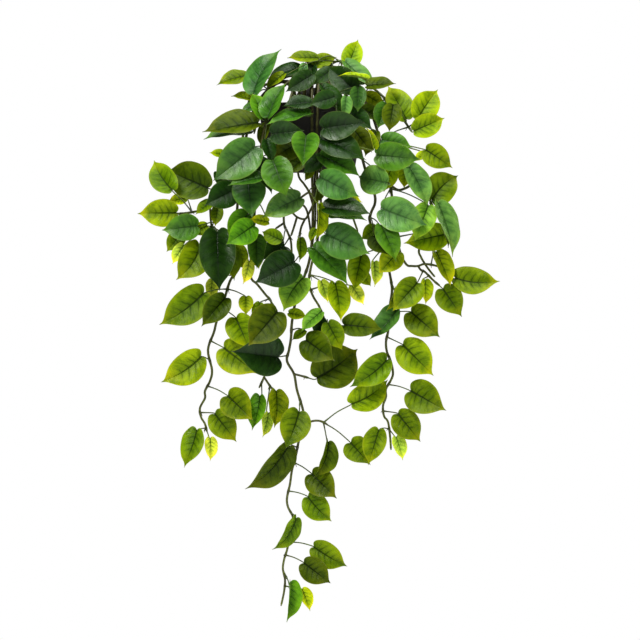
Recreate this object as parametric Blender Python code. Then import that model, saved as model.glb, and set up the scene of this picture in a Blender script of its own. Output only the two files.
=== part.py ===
"""A potted heart-leaf philodendron: a wall pot, its soil, and the leafy stems that hang from it.

The pot's flat back is against the wall, in the plane Y = 0. The plant hangs in front of it, towards -Y,
and +Z is up. The origin is the middle of the pot's back.
"""

import math
import random
from collections import namedtuple

import bmesh
import bpy
from mathutils import Matrix, Vector
from mathutils.bvhtree import BVHTree

# Driving dimensions, in metres
MM = 0.001
PLANT_HEIGHT = 0.80
POT_WIDTH = 150 * MM
POT_DEPTH = 100 * MM
POT_FLOOR_Z = -54 * MM
POT_RIM_Z = 37 * MM
POT_WALL = 3.2 * MM
POT_TAPER = 0.78
POT_SQUARENESS = 0.8
FOOT_BEVEL = 3 * MM
RIM_HEIGHT = 14 * MM
RIM_STEP = 2.4 * MM
RIM_BEVEL = 1.5 * MM
HANGER_WIDTH = 44 * MM
HANGER_TOP_Z = 64 * MM
HANGER_THICKNESS = 4 * MM
HANGER_CORNER = 14 * MM
HANGER_OVERLAP = 8 * MM
SCREW_HOLE_RADIUS = 3 * MM
SCREW_HOLE_Z = 52 * MM
DRAIN_HOLE_RADIUS = 4 * MM
DRAIN_HOLE_SPACING = 26 * MM
DRAIN_HOLE_SHARE = 0.42
SOIL_TOP_Z = 30 * MM
SOIL_WAVE = 1.1 * MM
SOIL_RINGS = (0.82, 0.42)
FIT_GAP = 0.3 * MM
STEM_RADIUS = 2.0 * MM
STEM_END_RADIUS = 1.4 * MM
BRANCH_RADIUS = 1.5 * MM
STALK_RADIUS = 1.0 * MM
BLADE_THICKNESS = 0.85 * MM
ROOT_DEPTH = 24 * MM
STEM_FOOT = 6 * MM
HUB_DEPTH = 50 * MM
OUTER_RING = 22 * MM
INNER_RING = 11 * MM

# The picture that the places of stems and leaves are read from, in its pixels
PICTURE_MIDDLE = (320, 320)
PICTURE_POT_BACK = (312, 134)
PICTURE_PLANT_HEIGHT = 575
PIXEL = PLANT_HEIGHT / PICTURE_PLANT_HEIGHT
VIEW_DISTANCE = 4.0

# The form of a leaf. Along is 0 at the leaf stalk and 1 at the tip, across is 1 at the widest edge
BLADE_ASPECT = 0.82
NARROWEST = 0.82
LARGE_OUTLINE = [(-0.065, 0.38), (0.06, 0.78), (0.33, 1.0), (0.62, 0.85), (0.84, 0.33)]
LARGE_MIDRIB = [0.30, 0.62]
SMALL_OUTLINE = [(-0.06, 0.48), (0.22, 1.0), (0.58, 0.88), (0.83, 0.32)]
SMALL_MIDRIB = [0.40]
SMALL_LEAF = 42 * MM
LEAST_LEAN = math.radians(14)
MOST_LEAN = math.radians(62)
TIP_DROOP = 0.10
LOBE_DROOP = 0.35
EDGE_WAVE = 0.018
EDGE_WAVES = 7
KNEE_BACK = 2.2 * MM
KNEE_DROP = 3.2 * MM
STALK_ARCH = 0.10
SHORT_STALK = 26 * MM

# A leaf whose tip is so many pixels above its stalk leans back, and every leaf turns its face to the light
RISING = 6
LIGHT_SIDE = Vector((0.35, 0, 0.94))

# How finely round things are divided, and the angle at which an edge is shaded sharp
STEM_PARTS = 1
STEM_SIDES = 5
STALK_SIDES = 3
POT_STEPS = 16
CORNER_STEPS = 6
SCREW_HOLE_SIDES = 16
DRAIN_HOLE_SIDES = 10
SOIL_HOLE_SIDES = 6
SHARP_ANGLE = math.radians(35)

# Plain colours. A vine's green runs from the crown's to that of the stems that hang lowest
POT_COLOUR = (0.035, 0.032, 0.028)
SOIL_COLOUR = (0.05, 0.034, 0.022)
CROWN_GREEN = (0.055, 0.17, 0.045)
TRAIL_GREEN = (0.15, 0.26, 0.02)
YELLOWEST_DROP = 0.6 * PLANT_HEIGHT
POT_ROUGHNESS = 0.6
SOIL_ROUGHNESS = 0.95
LEAF_ROUGHNESS = 0.4

# How the leaves find room: the air kept round them, the steps forward (mm) and the stalks' bends (mm) tried
CLEARANCE = 0.6 * MM
WALL_AIR = 5 * MM
FORWARD_STEPS = range(0, 96, 3)
LOW_NODE_COST = 0.6
STALK_CHOICES = 5
STALK_BENDS = [(0, 0, 0), (0, 0, 10), (0, -10, 4), (0, 10, 4), (-10, 0, 4), (10, 0, 4), (0, -20, 8),
               (0, 20, 8), (-20, 0, 8), (20, 0, 8), (0, -32, 0), (0, 0, 24)]

Leaf = namedtuple("Leaf", "x y tip_x tip_y width depth bow fold turn lean")
Vine = namedtuple("Vine", "name azimuth ring stems leaves")
Blade = namedtuple("Blade", "base along side face length half_width fold bow phase")


def leaf(x, y, tip_x, tip_y, width, depth, bow=0, fold=17, turn=1, lean=None):
    """A leaf by where its stalk and tip are seen, its width (pixels) and depth (mm).

    Its bow is how far its middle bends to the left of the way from stalk to tip (pixels).
    """
    return Leaf(x, y, tip_x, tip_y, width, depth, bow, math.radians(fold), turn, lean)


def vine(name, azimuth, ring, stems, leaves):
    """A leafy stem: the side of the hub it leaves from, its routes (pixels, mm) and its leaves."""
    return Vine(name, math.radians(azimuth), ring, stems, leaves)


VINES = [
    vine(
        "vine_left_long", -72, OUTER_RING,
        [[(290, 82, 64), (270, 88, 76), (253, 112, 82), (242, 160, 80), (237, 212, 76), (236, 250, 71),
          (237, 269, 68), (230, 281, 67), (225, 297, 66), (217, 320, 64), (214, 332, 62), (208, 350, 60),
          (212, 370, 58), (210, 381, 58), (205, 391, 57), (205, 398, 56), (200, 408, 55), (201, 417, 54),
          (205, 424, 54), (207, 432, 54)]],
        [leaf(204, 293, 160, 323, 35, 82, bow=3),
         leaf(225, 298, 202, 325, 25, 92, fold=34, turn=-1),
         leaf(212, 280, 211, 301, 13, 60),
         leaf(236, 318, 249, 348, 29, 84),
         leaf(246, 297, 246, 314, 15, 84),
         leaf(201, 357, 162, 381, 32, 74, bow=3),
         leaf(224, 348, 256, 373, 35, 76),
         leaf(228, 396, 252, 419, 31, 70),
         leaf(215, 414, 236, 441, 27, 62),
         leaf(197, 430, 182, 465, 22, 60, bow=2),
         leaf(210, 438, 212, 460, 13, 56)],
    ),
    vine(
        "vine_left_inner", -48, OUTER_RING,
        [[(297, 80, 80), (284, 86, 96), (272, 104, 108), (263, 135, 112), (258, 175, 108), (254, 220, 98),
          (251, 255, 90), (251, 277, 84), (257, 284, 82), (265, 294, 80), (272, 304, 78), (275, 330, 72),
          (270, 358, 66), (264, 377, 64), (259, 388, 62)],
         [(264, 377, 64), (268, 383, 63), (272, 389, 62)]],
        [leaf(263, 118, 253, 90, 18, 122),
         leaf(268, 117, 283, 79, 21, 124, fold=28),
         leaf(277, 312, 249, 345, 37, 96),
         leaf(260, 303, 254, 320, 12, 80),
         leaf(260, 396, 249, 428, 18, 72, bow=3, turn=-1),
         leaf(276, 391, 277, 427, 20, 68, bow=1),
         leaf(268, 413, 265, 437, 11, 60),
         leaf(255, 247, 259, 269, 15, 98),
         leaf(268, 222, 250, 218, 11, 122),
         leaf(253, 226, 228, 243, 27, 128),
         leaf(249, 261, 245, 284, 12, 108),
         leaf(256, 236, 258, 268, 20, 104),
         leaf(268, 124, 259, 146, 12, 100),
         leaf(266, 140, 273, 162, 14, 124)],
    ),
    vine(
        "vine_centre_long", -8, OUTER_RING,
        [[(312, 84, 92), (312, 95, 108), (312, 130, 113), (312, 168, 113), (313, 205, 108), (312, 240, 103),
          (309, 262, 98), (303, 280, 94), (296, 300, 90), (292, 322, 86), (291, 338, 84), (289, 350, 82),
          (287, 361, 80), (294, 374, 78), (297, 390, 76), (303, 410, 74), (304, 424, 72), (299, 440, 70),
          (296, 455, 68), (292, 470, 66), (290, 484, 64), (287, 498, 62), (288, 507, 60), (293, 518, 58),
          (291, 534, 57), (287, 550, 56), (284, 560, 56), (283, 570, 56), (287, 579, 56)],
         [(304, 424, 72), (313, 421, 74), (320, 421, 74), (327, 424, 73)],
         [(294, 374, 78), (302, 376, 80), (309, 378, 81)],
         [(313, 205, 108), (309, 213, 107), (305, 219, 106), (297, 217, 105), (290, 210, 104)],
         [(305, 219, 106), (301, 228, 105), (299, 240, 104)],
         [(297, 217, 105), (294, 227, 104), (291, 236, 103)],
         [(283, 570, 56), (285, 580, 55), (284, 592, 54), (281, 606, 53)],
         [(312, 130, 113), (314, 150, 107), (315, 190, 104), (315, 225, 101), (309, 262, 98)],
         [(313, 205, 108), (309, 192, 110), (304, 184, 111), (299, 177, 112), (297, 164, 112)],
         [(309, 192, 110), (303, 196, 109), (297, 201, 108)],
         [(312, 240, 103), (307, 211, 107), (299, 202, 109)]],
        [leaf(278, 357, 238, 352, 41, 92, fold=26),
         leaf(305, 331, 292, 339, 9, 80),
         leaf(289, 313, 307, 316, 11, 84),
         leaf(303, 278, 284, 311, 29, 108, bow=-3),
         leaf(299, 412, 286, 447, 31, 84, bow=1),
         leaf(288, 446, 252, 492, 27, 74, bow=3, turn=-1),
         leaf(328, 442, 317, 478, 17, 76, bow=4, fold=30),
         leaf(312, 474, 334, 496, 29, 66),
         leaf(308, 497, 331, 521, 26, 70, bow=-1),
         leaf(296, 518, 277, 551, 16, 66, bow=4, turn=-1),
         leaf(314, 547, 346, 566, 26, 62, bow=-1),
         leaf(304, 563, 330, 583, 26, 68),
         leaf(290, 582, 290, 621, 13, 64, fold=34),
         leaf(302, 589, 311, 610, 12, 57),
         leaf(352, 404, 389, 379, 29, 82, bow=-3, fold=26),
         leaf(351, 443, 368, 462, 26, 68),
         leaf(317, 378, 359, 347, 44, 96, bow=-2),
         leaf(294, 262, 257, 282, 37, 114),
         leaf(300, 238, 302, 261, 10, 102),
         leaf(311, 166, 306, 181, 9, 118)],
    ),
    vine(
        "vine_centre_front", 8, OUTER_RING,
        [[(318, 84, 94), (318, 96, 109), (317, 130, 115), (317, 168, 115), (318, 205, 111), (318, 235, 106),
          (315, 252, 101), (311, 267, 98), (309, 283, 96), (313, 296, 94), (319, 306, 92), (324, 318, 90),
          (330, 332, 86), (336, 346, 82)],
         [(317, 130, 115), (320, 152, 108), (321, 190, 106), (320, 222, 103), (315, 252, 101)]],
        [leaf(326, 234, 369, 254, 36, 138),
         leaf(313, 248, 350, 281, 26, 124),
         leaf(325, 208, 371, 211, 22, 132),
         leaf(319, 204, 321, 240, 11, 126),
         leaf(316, 229, 309, 241, 8, 120),
         leaf(321, 281, 329, 302, 13, 96),
         leaf(335, 283, 343, 320, 22, 106),
         leaf(352, 286, 364, 304, 14, 98),
         leaf(306, 340, 332, 359, 32, 92),
         leaf(328, 323, 342, 350, 22, 102),
         leaf(344, 325, 382, 328, 24, 100),
         leaf(321, 312, 300, 329, 15, 100),
         leaf(321, 170, 315, 207, 10, 120, fold=30),
         leaf(321, 318, 317, 337, 15, 86)],
    ),
    vine(
        "vine_right_long", 40, OUTER_RING,
        [[(327, 82, 82), (342, 90, 100), (351, 106, 110), (358, 140, 114), (366, 172, 108), (374, 192, 101),
          (375, 203, 98), (371, 213, 96), (370, 222, 94), (378, 240, 90), (386, 258, 86), (390, 275, 82),
          (392, 290, 80), (390, 305, 78), (389, 322, 76), (388, 332, 75), (386, 342, 73), (387, 352, 71),
          (391, 362, 69), (393, 373, 68), (391, 380, 67), (386, 389, 66), (386, 397, 65), (383, 406, 63),
          (384, 416, 62), (388, 422, 61), (390, 436, 60), (391, 450, 60)]],
        [leaf(411, 312, 439, 336, 32, 80),
         leaf(403, 345, 433, 375, 34, 78),
         leaf(411, 391, 443, 409, 34, 72),
         leaf(398, 414, 420, 441, 28, 68),
         leaf(396, 437, 404, 459, 14, 60),
         leaf(379, 430, 368, 464, 23, 74, turn=-1),
         leaf(387, 360, 350, 385, 27, 84, bow=3, fold=26),
         leaf(396, 310, 368, 336, 20, 86, bow=4, fold=26),
         leaf(395, 288, 390, 312, 7, 92),
         leaf(381, 225, 398, 260, 23, 116),
         leaf(374, 262, 377, 286, 12, 100),
         leaf(361, 256, 354, 290, 23, 108, fold=34),
         leaf(398, 252, 379, 273, 24, 104),
         leaf(376, 228, 362, 239, 16, 104),
         leaf(374, 236, 388, 254, 22, 106),
         leaf(360, 272, 371, 286, 13, 96)],
    ),
    vine(
        "vine_right_outer", 62, OUTER_RING,
        [[(336, 84, 74), (354, 92, 88), (369, 108, 96), (380, 140, 98), (388, 172, 94), (393, 205, 90),
          (395, 230, 86), (398, 244, 83), (402, 257, 80), (407, 265, 78), (412, 266, 77), (418, 266, 76),
          (425, 264, 75), (437, 266, 74), (447, 270, 73), (453, 274, 72)],
         [(418, 266, 76), (421, 270, 76), (425, 272, 75), (433, 280, 74), (440, 286, 73)]],
        [leaf(455, 278, 499, 279, 27, 82, bow=-4),
         leaf(443, 289, 461, 315, 27, 80),
         leaf(425, 280, 427, 304, 13, 76),
         leaf(417, 283, 393, 310, 28, 96, fold=26),
         leaf(446, 234, 405, 243, 28, 88),
         leaf(436, 252, 453, 285, 18, 88),
         leaf(428, 206, 415, 241, 25, 112),
         leaf(382, 209, 426, 225, 35, 126),
         leaf(377, 155, 419, 159, 29, 132)],
    ),
    vine(
        "vine_right_mid", 86, OUTER_RING,
        [[(338, 83, 56), (356, 84, 62), (370, 99, 68), (377, 130, 71), (381, 160, 72), (386, 180, 74),
          (393, 187, 75), (399, 190, 75), (406, 188, 76), (413, 185, 77), (421, 191, 77), (430, 200, 78),
          (433, 214, 78), (425, 236, 76), (419, 250, 74), (421, 257, 73), (425, 264, 71), (430, 271, 70),
          (435, 277, 70)]],
        [leaf(426, 150, 452, 167, 24, 98),
         leaf(428, 153, 413, 160, 9, 92),
         leaf(409, 167, 431, 204, 23, 106),
         leaf(432, 200, 460, 174, 31, 98, bow=3),
         leaf(406, 167, 404, 188, 15, 84),
         leaf(438, 203, 459, 253, 20, 102),
         leaf(440, 214, 452, 246, 12, 92),
         leaf(392, 165, 384, 192, 18, 90)],
    ),
    vine(
        "vine_top_right", 70, INNER_RING,
        [[(324, 82, 58), (340, 76, 64), (360, 80, 72), (378, 92, 78), (394, 108, 80), (405, 122, 80),
          (412, 132, 80)]],
        [leaf(418, 119, 439, 88, 28, 84, bow=1),
         leaf(406, 119, 388, 83, 26, 82),
         leaf(367, 86, 395, 82, 14, 76),
         leaf(366, 95, 385, 106, 15, 86),
         leaf(414, 131, 446, 117, 24, 90),
         leaf(393, 105, 389, 131, 20, 96),
         leaf(382, 140, 412, 146, 19, 118),
         leaf(386, 104, 378, 128, 20, 92),
         leaf(361, 109, 384, 119, 15, 90)],
    ),
    vine(
        "vine_top", 20, INNER_RING,
        [[(318, 82, 46), (326, 70, 48), (335, 62, 50), (346, 61, 52)],
         [(326, 70, 48), (316, 64, 50), (306, 62, 52)]],
        [leaf(313, 66, 337, 54, 16, 52),
         leaf(348, 66, 359, 38, 21, 54),
         leaf(345, 62, 378, 87, 16, 64, bow=-2),
         leaf(367, 79, 338, 72, 6, 112),
         leaf(357, 79, 368, 83, 9, 66),
         leaf(316, 58, 288, 56, 13, 54),
         leaf(300, 68, 267, 76, 15, 62),
         leaf(355, 91, 326, 64, 25, 108, fold=24),
         leaf(305, 64, 300, 76, 9, 70),
         leaf(284, 74, 265, 88, 11, 72),
         leaf(332, 70, 312, 84, 15, 68),
         leaf(322, 70, 345, 82, 14, 66)],
    ),
    vine(
        "vine_top_left", -66, INNER_RING,
        [[(302, 82, 56), (290, 76, 60), (276, 84, 68), (264, 98, 74), (258, 116, 78), (254, 134, 80)]],
        [leaf(246, 76, 217, 81, 15, 66),
         leaf(254, 93, 279, 46, 25, 78, bow=5),
         leaf(253, 100, 231, 93, 10, 70),
         leaf(259, 104, 240, 111, 10, 76),
         leaf(258, 123, 203, 129, 24, 84),
         leaf(250, 131, 204, 134, 15, 90),
         leaf(312, 75, 286, 91, 20, 84),
         leaf(313, 66, 302, 90, 15, 62)],
    ),
    vine(
        "vine_crown_left", -28, OUTER_RING,
        [[(305, 80, 86), (296, 86, 102), (289, 104, 114), (285, 135, 119), (283, 165, 118), (284, 200, 108),
          (284, 223, 101), (288, 233, 97), (291, 242, 94), (292, 262, 90)],
         [(284, 223, 101), (275, 229, 98)]],
        [leaf(255, 147, 214, 180, 38, 134),
         leaf(225, 155, 210, 152, 9, 112),
         leaf(272, 134, 303, 130, 24, 142, fold=26),
         leaf(310, 114, 266, 121, 13, 130),
         leaf(273, 161, 286, 196, 32, 134),
         leaf(300, 198, 262, 215, 26, 130),
         leaf(306, 136, 303, 164, 28, 150, fold=28),
         leaf(248, 182, 252, 215, 34, 124),
         leaf(262, 178, 228, 183, 14, 130),
         leaf(281, 240, 261, 231, 16, 112),
         leaf(284, 246, 264, 258, 28, 110),
         leaf(311, 103, 283, 103, 14, 124),
         leaf(258, 160, 274, 192, 20, 124),
         leaf(300, 142, 272, 158, 24, 122),
         leaf(306, 157, 286, 173, 15, 126)],
    ),
    vine(
        "vine_crown_right", 24, OUTER_RING,
        [[(322, 80, 88), (331, 86, 104), (336, 106, 117), (339, 135, 121), (341, 165, 119), (345, 195, 113),
          (352, 215, 107), (358, 232, 102)]],
        [leaf(322, 86, 345, 113, 15, 118),
         leaf(358, 88, 358, 112, 17, 108, fold=30),
         leaf(346, 97, 345, 119, 12, 120),
         leaf(323, 128, 363, 122, 29, 140, fold=28),
         leaf(321, 139, 366, 156, 28, 146),
         leaf(321, 156, 361, 172, 22, 140),
         leaf(321, 178, 358, 196, 30, 150),
         leaf(387, 183, 355, 176, 30, 134),
         leaf(374, 148, 369, 125, 7, 134),
         leaf(376, 132, 364, 156, 16, 116),
         leaf(338, 196, 362, 200, 14, 130),
         leaf(350, 112, 372, 128, 20, 118),
         leaf(354, 130, 372, 152, 20, 118),
         leaf(328, 214, 366, 215, 15, 124),
         leaf(323, 157, 303, 173, 16, 128),
         leaf(334, 97, 310, 104, 19, 122)],
    ),
    vine(
        "vine_left_outer", -94, OUTER_RING,
        [[(288, 84, 50), (268, 84, 54), (252, 94, 58), (245, 122, 60), (240, 158, 60), (233, 182, 60),
          (224, 200, 60), (210, 207, 60), (198, 211, 60), (186, 213, 60), (175, 214, 60)],
         [(210, 207, 60), (211, 222, 60), (213, 231, 60)]],
        [leaf(176, 213, 139, 213, 28, 74),
         leaf(172, 190, 152, 158, 26, 86, bow=2),
         leaf(208, 188, 164, 169, 38, 76),
         leaf(186, 198, 168, 201, 12, 68),
         leaf(197, 226, 163, 230, 27, 88),
         leaf(207, 226, 193, 233, 14, 74),
         leaf(184, 245, 172, 263, 14, 76),
         leaf(181, 234, 167, 251, 18, 70),
         leaf(200, 246, 176, 279, 31, 82, bow=4),
         leaf(217, 232, 219, 290, 37, 104, fold=30),
         leaf(218, 207, 215, 226, 13, 72),
         leaf(212, 202, 195, 213, 12, 80),
         leaf(234, 190, 206, 204, 28, 96),
         leaf(248, 214, 229, 241, 27, 112),
         leaf(226, 244, 236, 279, 22, 94),
         leaf(218, 172, 236, 196, 18, 84),
         leaf(236, 246, 245, 270, 18, 90)],
    ),
]


def place(x, y, depth):
    """The point seen at a place in the picture, a number of millimetres in front of the wall."""
    shrink = PIXEL * (1 - depth * MM / VIEW_DISTANCE)
    eye_x = (PICTURE_MIDDLE[0] - PICTURE_POT_BACK[0]) * PIXEL
    eye_z = (PICTURE_POT_BACK[1] - PICTURE_MIDDLE[1]) * PIXEL
    return Vector((eye_x + (x - PICTURE_MIDDLE[0]) * shrink, -depth * MM,
                   eye_z + (PICTURE_MIDDLE[1] - y) * shrink))


def hole_of(plant):
    """The middle of a stem's hole in the soil, on a ring round the hub."""
    return (plant.ring * math.sin(plant.azimuth), -HUB_DEPTH - plant.ring * math.cos(plant.azimuth))


def smooth(points, parts):
    """Points on a smooth curve through the given ones, so many to each stretch."""
    ends = [points[0] * 2 - points[1]] + list(points) + [points[-1] * 2 - points[-2]]
    curve = []
    for before, start, end, after in zip(ends, ends[1:], ends[2:], ends[3:]):
        for part in range(parts):
            t = part / parts
            curve.append(0.5 * (2 * start + t * (end - before)
                                + t * t * (2 * before - 5 * start + 4 * end - after)
                                + t * t * t * (3 * start - before - 3 * end + after)))
    return curve + [points[-1].copy()]


def stem_routes(plant):
    """The listed points of a vine's stems in space: the main stem from its root up, then the branches."""
    x, y = hole_of(plant)
    root = [Vector((x, y, SOIL_TOP_Z - ROOT_DEPTH)), Vector((x, y, SOIL_TOP_Z + STEM_FOOT))]
    main = root + [place(*point) for point in plant.stems[0]]
    return [main] + [[place(*point) for point in branch] for branch in plant.stems[1:]]


def blade_of(plan, forward):
    """The leaf's blade in space, with its stalk end so many millimetres further from the wall."""
    depth = plan.depth + forward
    base = place(plan.x, plan.y, depth)
    flat_tip = place(plan.tip_x, plan.tip_y, depth)
    run = (flat_tip - base).length
    shown_width = plan.width * PIXEL * (1 - depth * MM / VIEW_DISTANCE)
    natural = BLADE_ASPECT * math.cos(plan.fold)
    lean = max(LEAST_LEAN, math.acos(min(1, run * natural / shown_width)))
    lean = min(lean, MOST_LEAN)
    length = run / math.cos(lean)
    shown = min(1, shown_width / (natural * length))
    slimness = max(shown, NARROWEST)
    roll = math.acos(shown / slimness)
    if plan.lean is not None:
        lean = math.radians(plan.lean)
    elif plan.tip_y < plan.y - RISING:
        lean = -lean
    tip = place(plan.tip_x, plan.tip_y, depth + run * math.tan(lean) / MM)
    along = (tip - base).normalized()
    toward = Vector((0, -1, 0))
    face = (toward - toward.dot(along) * along).normalized()
    rolls = [Matrix.Rotation(sign * roll, 3, along) @ face for sign in (-1, 1)]
    face = max(rolls, key=(LIGHT_SIDE * plan.turn).dot)
    rng = random.Random(plan.x * 1000 + plan.y)
    return Blade(base, along, face.cross(along), face, length, slimness * BLADE_ASPECT * length / 2,
                 plan.fold, plan.bow * PIXEL, rng.random() * 2 * math.pi)


def blade_point(blade, along, across, grow=0.0):
    """A point of the blade's middle surface: folded along a bowed midrib, drooping, with waved edges."""
    reach = along * blade.length
    out = across * (blade.half_width + grow)
    bend = 4 * blade.bow * along * (1 - along)
    rise = abs(out) * math.sin(blade.fold)
    rise -= blade.length * (LOBE_DROOP if along < 0 else TIP_DROOP) * along * along
    rise += blade.length * EDGE_WAVE * across * abs(across) * math.sin(EDGE_WAVES * along + blade.phase)
    return (blade.base + blade.along * reach + blade.side * (out * math.cos(blade.fold) + bend)
            + blade.face * rise)


def blade_template(outline, midrib):
    """The along and across of half a sheet's points and its triangles, walked from stalk to tip.

    Point 0 is the corner at the stalk, then come the midrib's points, the tip and the outline's points.
    """
    inner = [0.0] + midrib + [1.0]
    outer = [along for along, _ in outline] + [1.0]
    edge = [len(inner) + number for number in range(len(outline))] + [len(inner) - 1]
    triangles = []
    middle, rim = 0, 0
    while rim < len(outer) - 1:
        if middle < len(inner) - 2 and inner[middle + 1] < outer[rim + 1]:
            triangles.append((middle, edge[rim], middle + 1))
            middle += 1
        else:
            triangles.append((middle, edge[rim], edge[rim + 1]))
            rim += 1
    return [(along, 0.0) for along in inner[1:]] + outline, triangles, len(midrib)


LARGE_TEMPLATE = blade_template(LARGE_OUTLINE, LARGE_MIDRIB)
SMALL_TEMPLATE = blade_template(SMALL_OUTLINE, SMALL_MIDRIB)


def blade_shell(blade, grow=0.0):
    """The blade's two sheets, split alike, and its rim, open at the three corners of the stalk's end."""
    places, half, midrib = LARGE_TEMPLATE if blade.length > SMALL_LEAF else SMALL_TEMPLATE
    outline = len(places) - midrib - 1
    corner = (STALK_RADIUS + grow) / blade.half_width
    lift = blade.face * (BLADE_THICKNESS / 2 + grow)
    left = [blade_point(blade, along, across, grow) for along, across in places]
    right = [blade_point(blade, along, -across, grow) for along, across in places[midrib + 1:]]
    top = [blade_point(blade, 0, corner), blade_point(blade, 0, -corner)] + left + right
    bottom = [blade.base - blade.face * (STALK_RADIUS + grow)] + left + right
    points = [point + lift for point in top] + [bottom[0]] + [point - lift for point in bottom[1:]]

    def left_of(index):
        return index if index == 0 else index + 1

    def right_of(index):
        return index + 1 + outline if index > midrib + 1 else index + 1

    def below(index):
        return len(top) if index < 2 else len(top) + index - 1

    sheet = [tuple(map(left_of, triangle)) for triangle in half]
    sheet += [tuple(map(right_of, reversed(triangle))) for triangle in half]
    faces = sheet + [(0, 2, 1)] + [tuple(map(below, reversed(triangle))) for triangle in sheet]
    rim = list(range(midrib + 2, midrib + 2 + outline))
    loop = [0] + [left_of(index) for index in rim] + [midrib + 2]
    loop += [right_of(index) for index in reversed(rim)] + [1]
    for here, following in zip(loop, loop[1:]):
        faces.append((here, below(here), following))
        if below(here) != below(following):
            faces.append((following, below(here), below(following)))
    return points, faces, (0, 1, len(top))


def blade_solid(blade, grow=0.0):
    """The blade alone, closed at the stalk's end."""
    points, faces, opening = blade_shell(blade, grow)
    return points, faces + [opening]


def rings_along(line, radii, corners, across):
    """A ring of points round each point of a route, carried along it without a twist."""
    rings = []
    ahead = (line[1] - line[0]).normalized()
    across = (across - across.dot(ahead) * ahead).normalized()
    for index, point in enumerate(line):
        turned = (line[min(index + 1, len(line) - 1)] - line[max(index - 1, 0)]).normalized()
        across = ahead.rotation_difference(turned) @ across
        ahead = turned
        other = ahead.cross(across)
        rings.append([point + radii[index] * (a * across + b * other) for a, b in corners])
    return rings


def side_faces(rings):
    """Triangles between rings, each given as its points' numbers, with the last ring closed."""
    faces = []
    for ring, following in zip(rings, rings[1:]):
        for a, b, c, d in zip(ring, ring[1:] + ring[:1], following, following[1:] + following[:1]):
            faces += [(a, b, d), (a, d, c)]
    last = rings[-1]
    return faces + [(last[0], last[index], last[index + 1]) for index in range(1, len(last) - 1)]


def tube_solid(line, radii, sides):
    """Points and triangles of a closed tube along a route."""
    corners = [(math.cos(2 * math.pi * side / sides), math.sin(2 * math.pi * side / sides))
               for side in range(sides)]
    rings = rings_along(line, radii, corners, (line[1] - line[0]).orthogonal())
    points = [point for ring in rings for point in ring]
    numbers = [list(range(start, start + sides)) for start in range(0, len(points), sides)]
    return points, side_faces(numbers) + [(0, side + 1, side) for side in range(1, sides - 1)]


def stalk_line(node, blade, bend):
    """The leaf stalk's route from the blade back to its node: a knee at the blade, then an arch."""
    knee = blade.base - blade.along * KNEE_BACK - blade.face * KNEE_DROP
    reach = (knee - node).length
    arch = (node + knee) / 2 + Vector((0, 0, STALK_ARCH * reach)) + Vector(bend) * MM
    middle = [(node + 2 * arch + knee) / 4] if reach > SHORT_STALK or any(bend) else []
    return [blade.base, knee] + middle + [node]


def stalk_solid(line, grow=0.0):
    """The leaf stalk alone, for finding room."""
    return tube_solid(line, [STALK_RADIUS + grow] * len(line), STALK_SIDES)


def leaf_solid(blade, line):
    """The blade and its stalk as one closed solid, with the stalk's end inside the stem."""
    points, faces, opening = blade_shell(blade)
    ring_corners = [(0.87, -0.5), (-0.87, -0.5), (0, 1)]
    rings = rings_along(line, [STALK_RADIUS] * len(line), ring_corners, blade.side)
    numbers = [list(opening)]
    for ring in rings[1:]:
        numbers.append(list(range(len(points), len(points) + 3)))
        points += ring
    return points, faces + side_faces(numbers)


def taper(count, first, final):
    """Radii that run evenly from the first to the final one."""
    return [first + (final - first) * index / (count - 1) for index in range(count)]


def stem_solids(plant, grow=0.0):
    """The closed tubes of a vine's main stem and branches."""
    solids = []
    for number, route in enumerate(stem_routes(plant)):
        line = smooth(route, STEM_PARTS)
        first = STEM_RADIUS if number == 0 else BRANCH_RADIUS
        radii = [radius + grow for radius in taper(len(line), first, STEM_END_RADIUS)]
        solids.append(tube_solid(line, radii, STEM_SIDES))
    return solids


def nodes_near(plant, blade):
    """The places between a vine's listed stem points that its leaf can grow from, the likeliest first."""
    routes = stem_routes(plant)
    routes[0] = routes[0][2:]
    nodes = [(start + end) / 2 for route in routes for start, end in zip(route, route[1:])]

    def cost(node):
        return (node - blade.base).length + LOW_NODE_COST * max(0, blade.base.z - node.z)

    return sorted(nodes, key=cost)[:STALK_CHOICES]


class Obstacle:
    """A solid that the leaves of other stems keep clear of."""

    def __init__(self, owner, kind, points, faces):
        self.owner = owner
        self.kind = kind
        self.tree = BVHTree.FromPolygons(points, faces)
        self.low, self.high = corners(points)


def corners(points):
    """The lowest and highest corner of the box round some points."""
    low = [min(point[axis] for point in points) for axis in range(3)]
    high = [max(point[axis] for point in points) for axis in range(3)]
    return low, high


def crosses(solid, obstacles):
    """Whether a solid cuts any of the obstacles."""
    points, faces = solid
    low, high = corners(points)
    tree = None
    for obstacle in obstacles:
        if any(low[axis] > obstacle.high[axis] or high[axis] < obstacle.low[axis] for axis in range(3)):
            continue
        if tree is None:
            tree = BVHTree.FromPolygons(points, faces)
        if tree.overlap(obstacle.tree):
            return True
    return False


def find_room(plant, plan, obstacles):
    """The leaf's blade and its stalk's route at the first place forward that is clear of other solids."""
    strangers = [item for item in obstacles if item.owner != plant.name]
    for blade_rivals, stalk_rivals in (
        (obstacles, strangers + [item for item in obstacles if item.kind == "blade"]),
        (strangers, strangers),
    ):
        for forward in FORWARD_STEPS:
            blade = blade_of(plan, forward)
            grown = blade_solid(blade, CLEARANCE)
            if max(point.y for point in grown[0]) > -WALL_AIR or crosses(grown, blade_rivals):
                continue
            own = Obstacle(plant.name, "blade", *blade_solid(blade, -CLEARANCE / 2))
            for node in nodes_near(plant, blade):
                for bend in STALK_BENDS:
                    line = stalk_line(node, blade, bend)
                    if crosses(stalk_solid(line, CLEARANCE), stalk_rivals):
                        continue
                    if not crosses(stalk_solid(line[1:], CLEARANCE), [own]):
                        return blade, line
    return None


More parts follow.
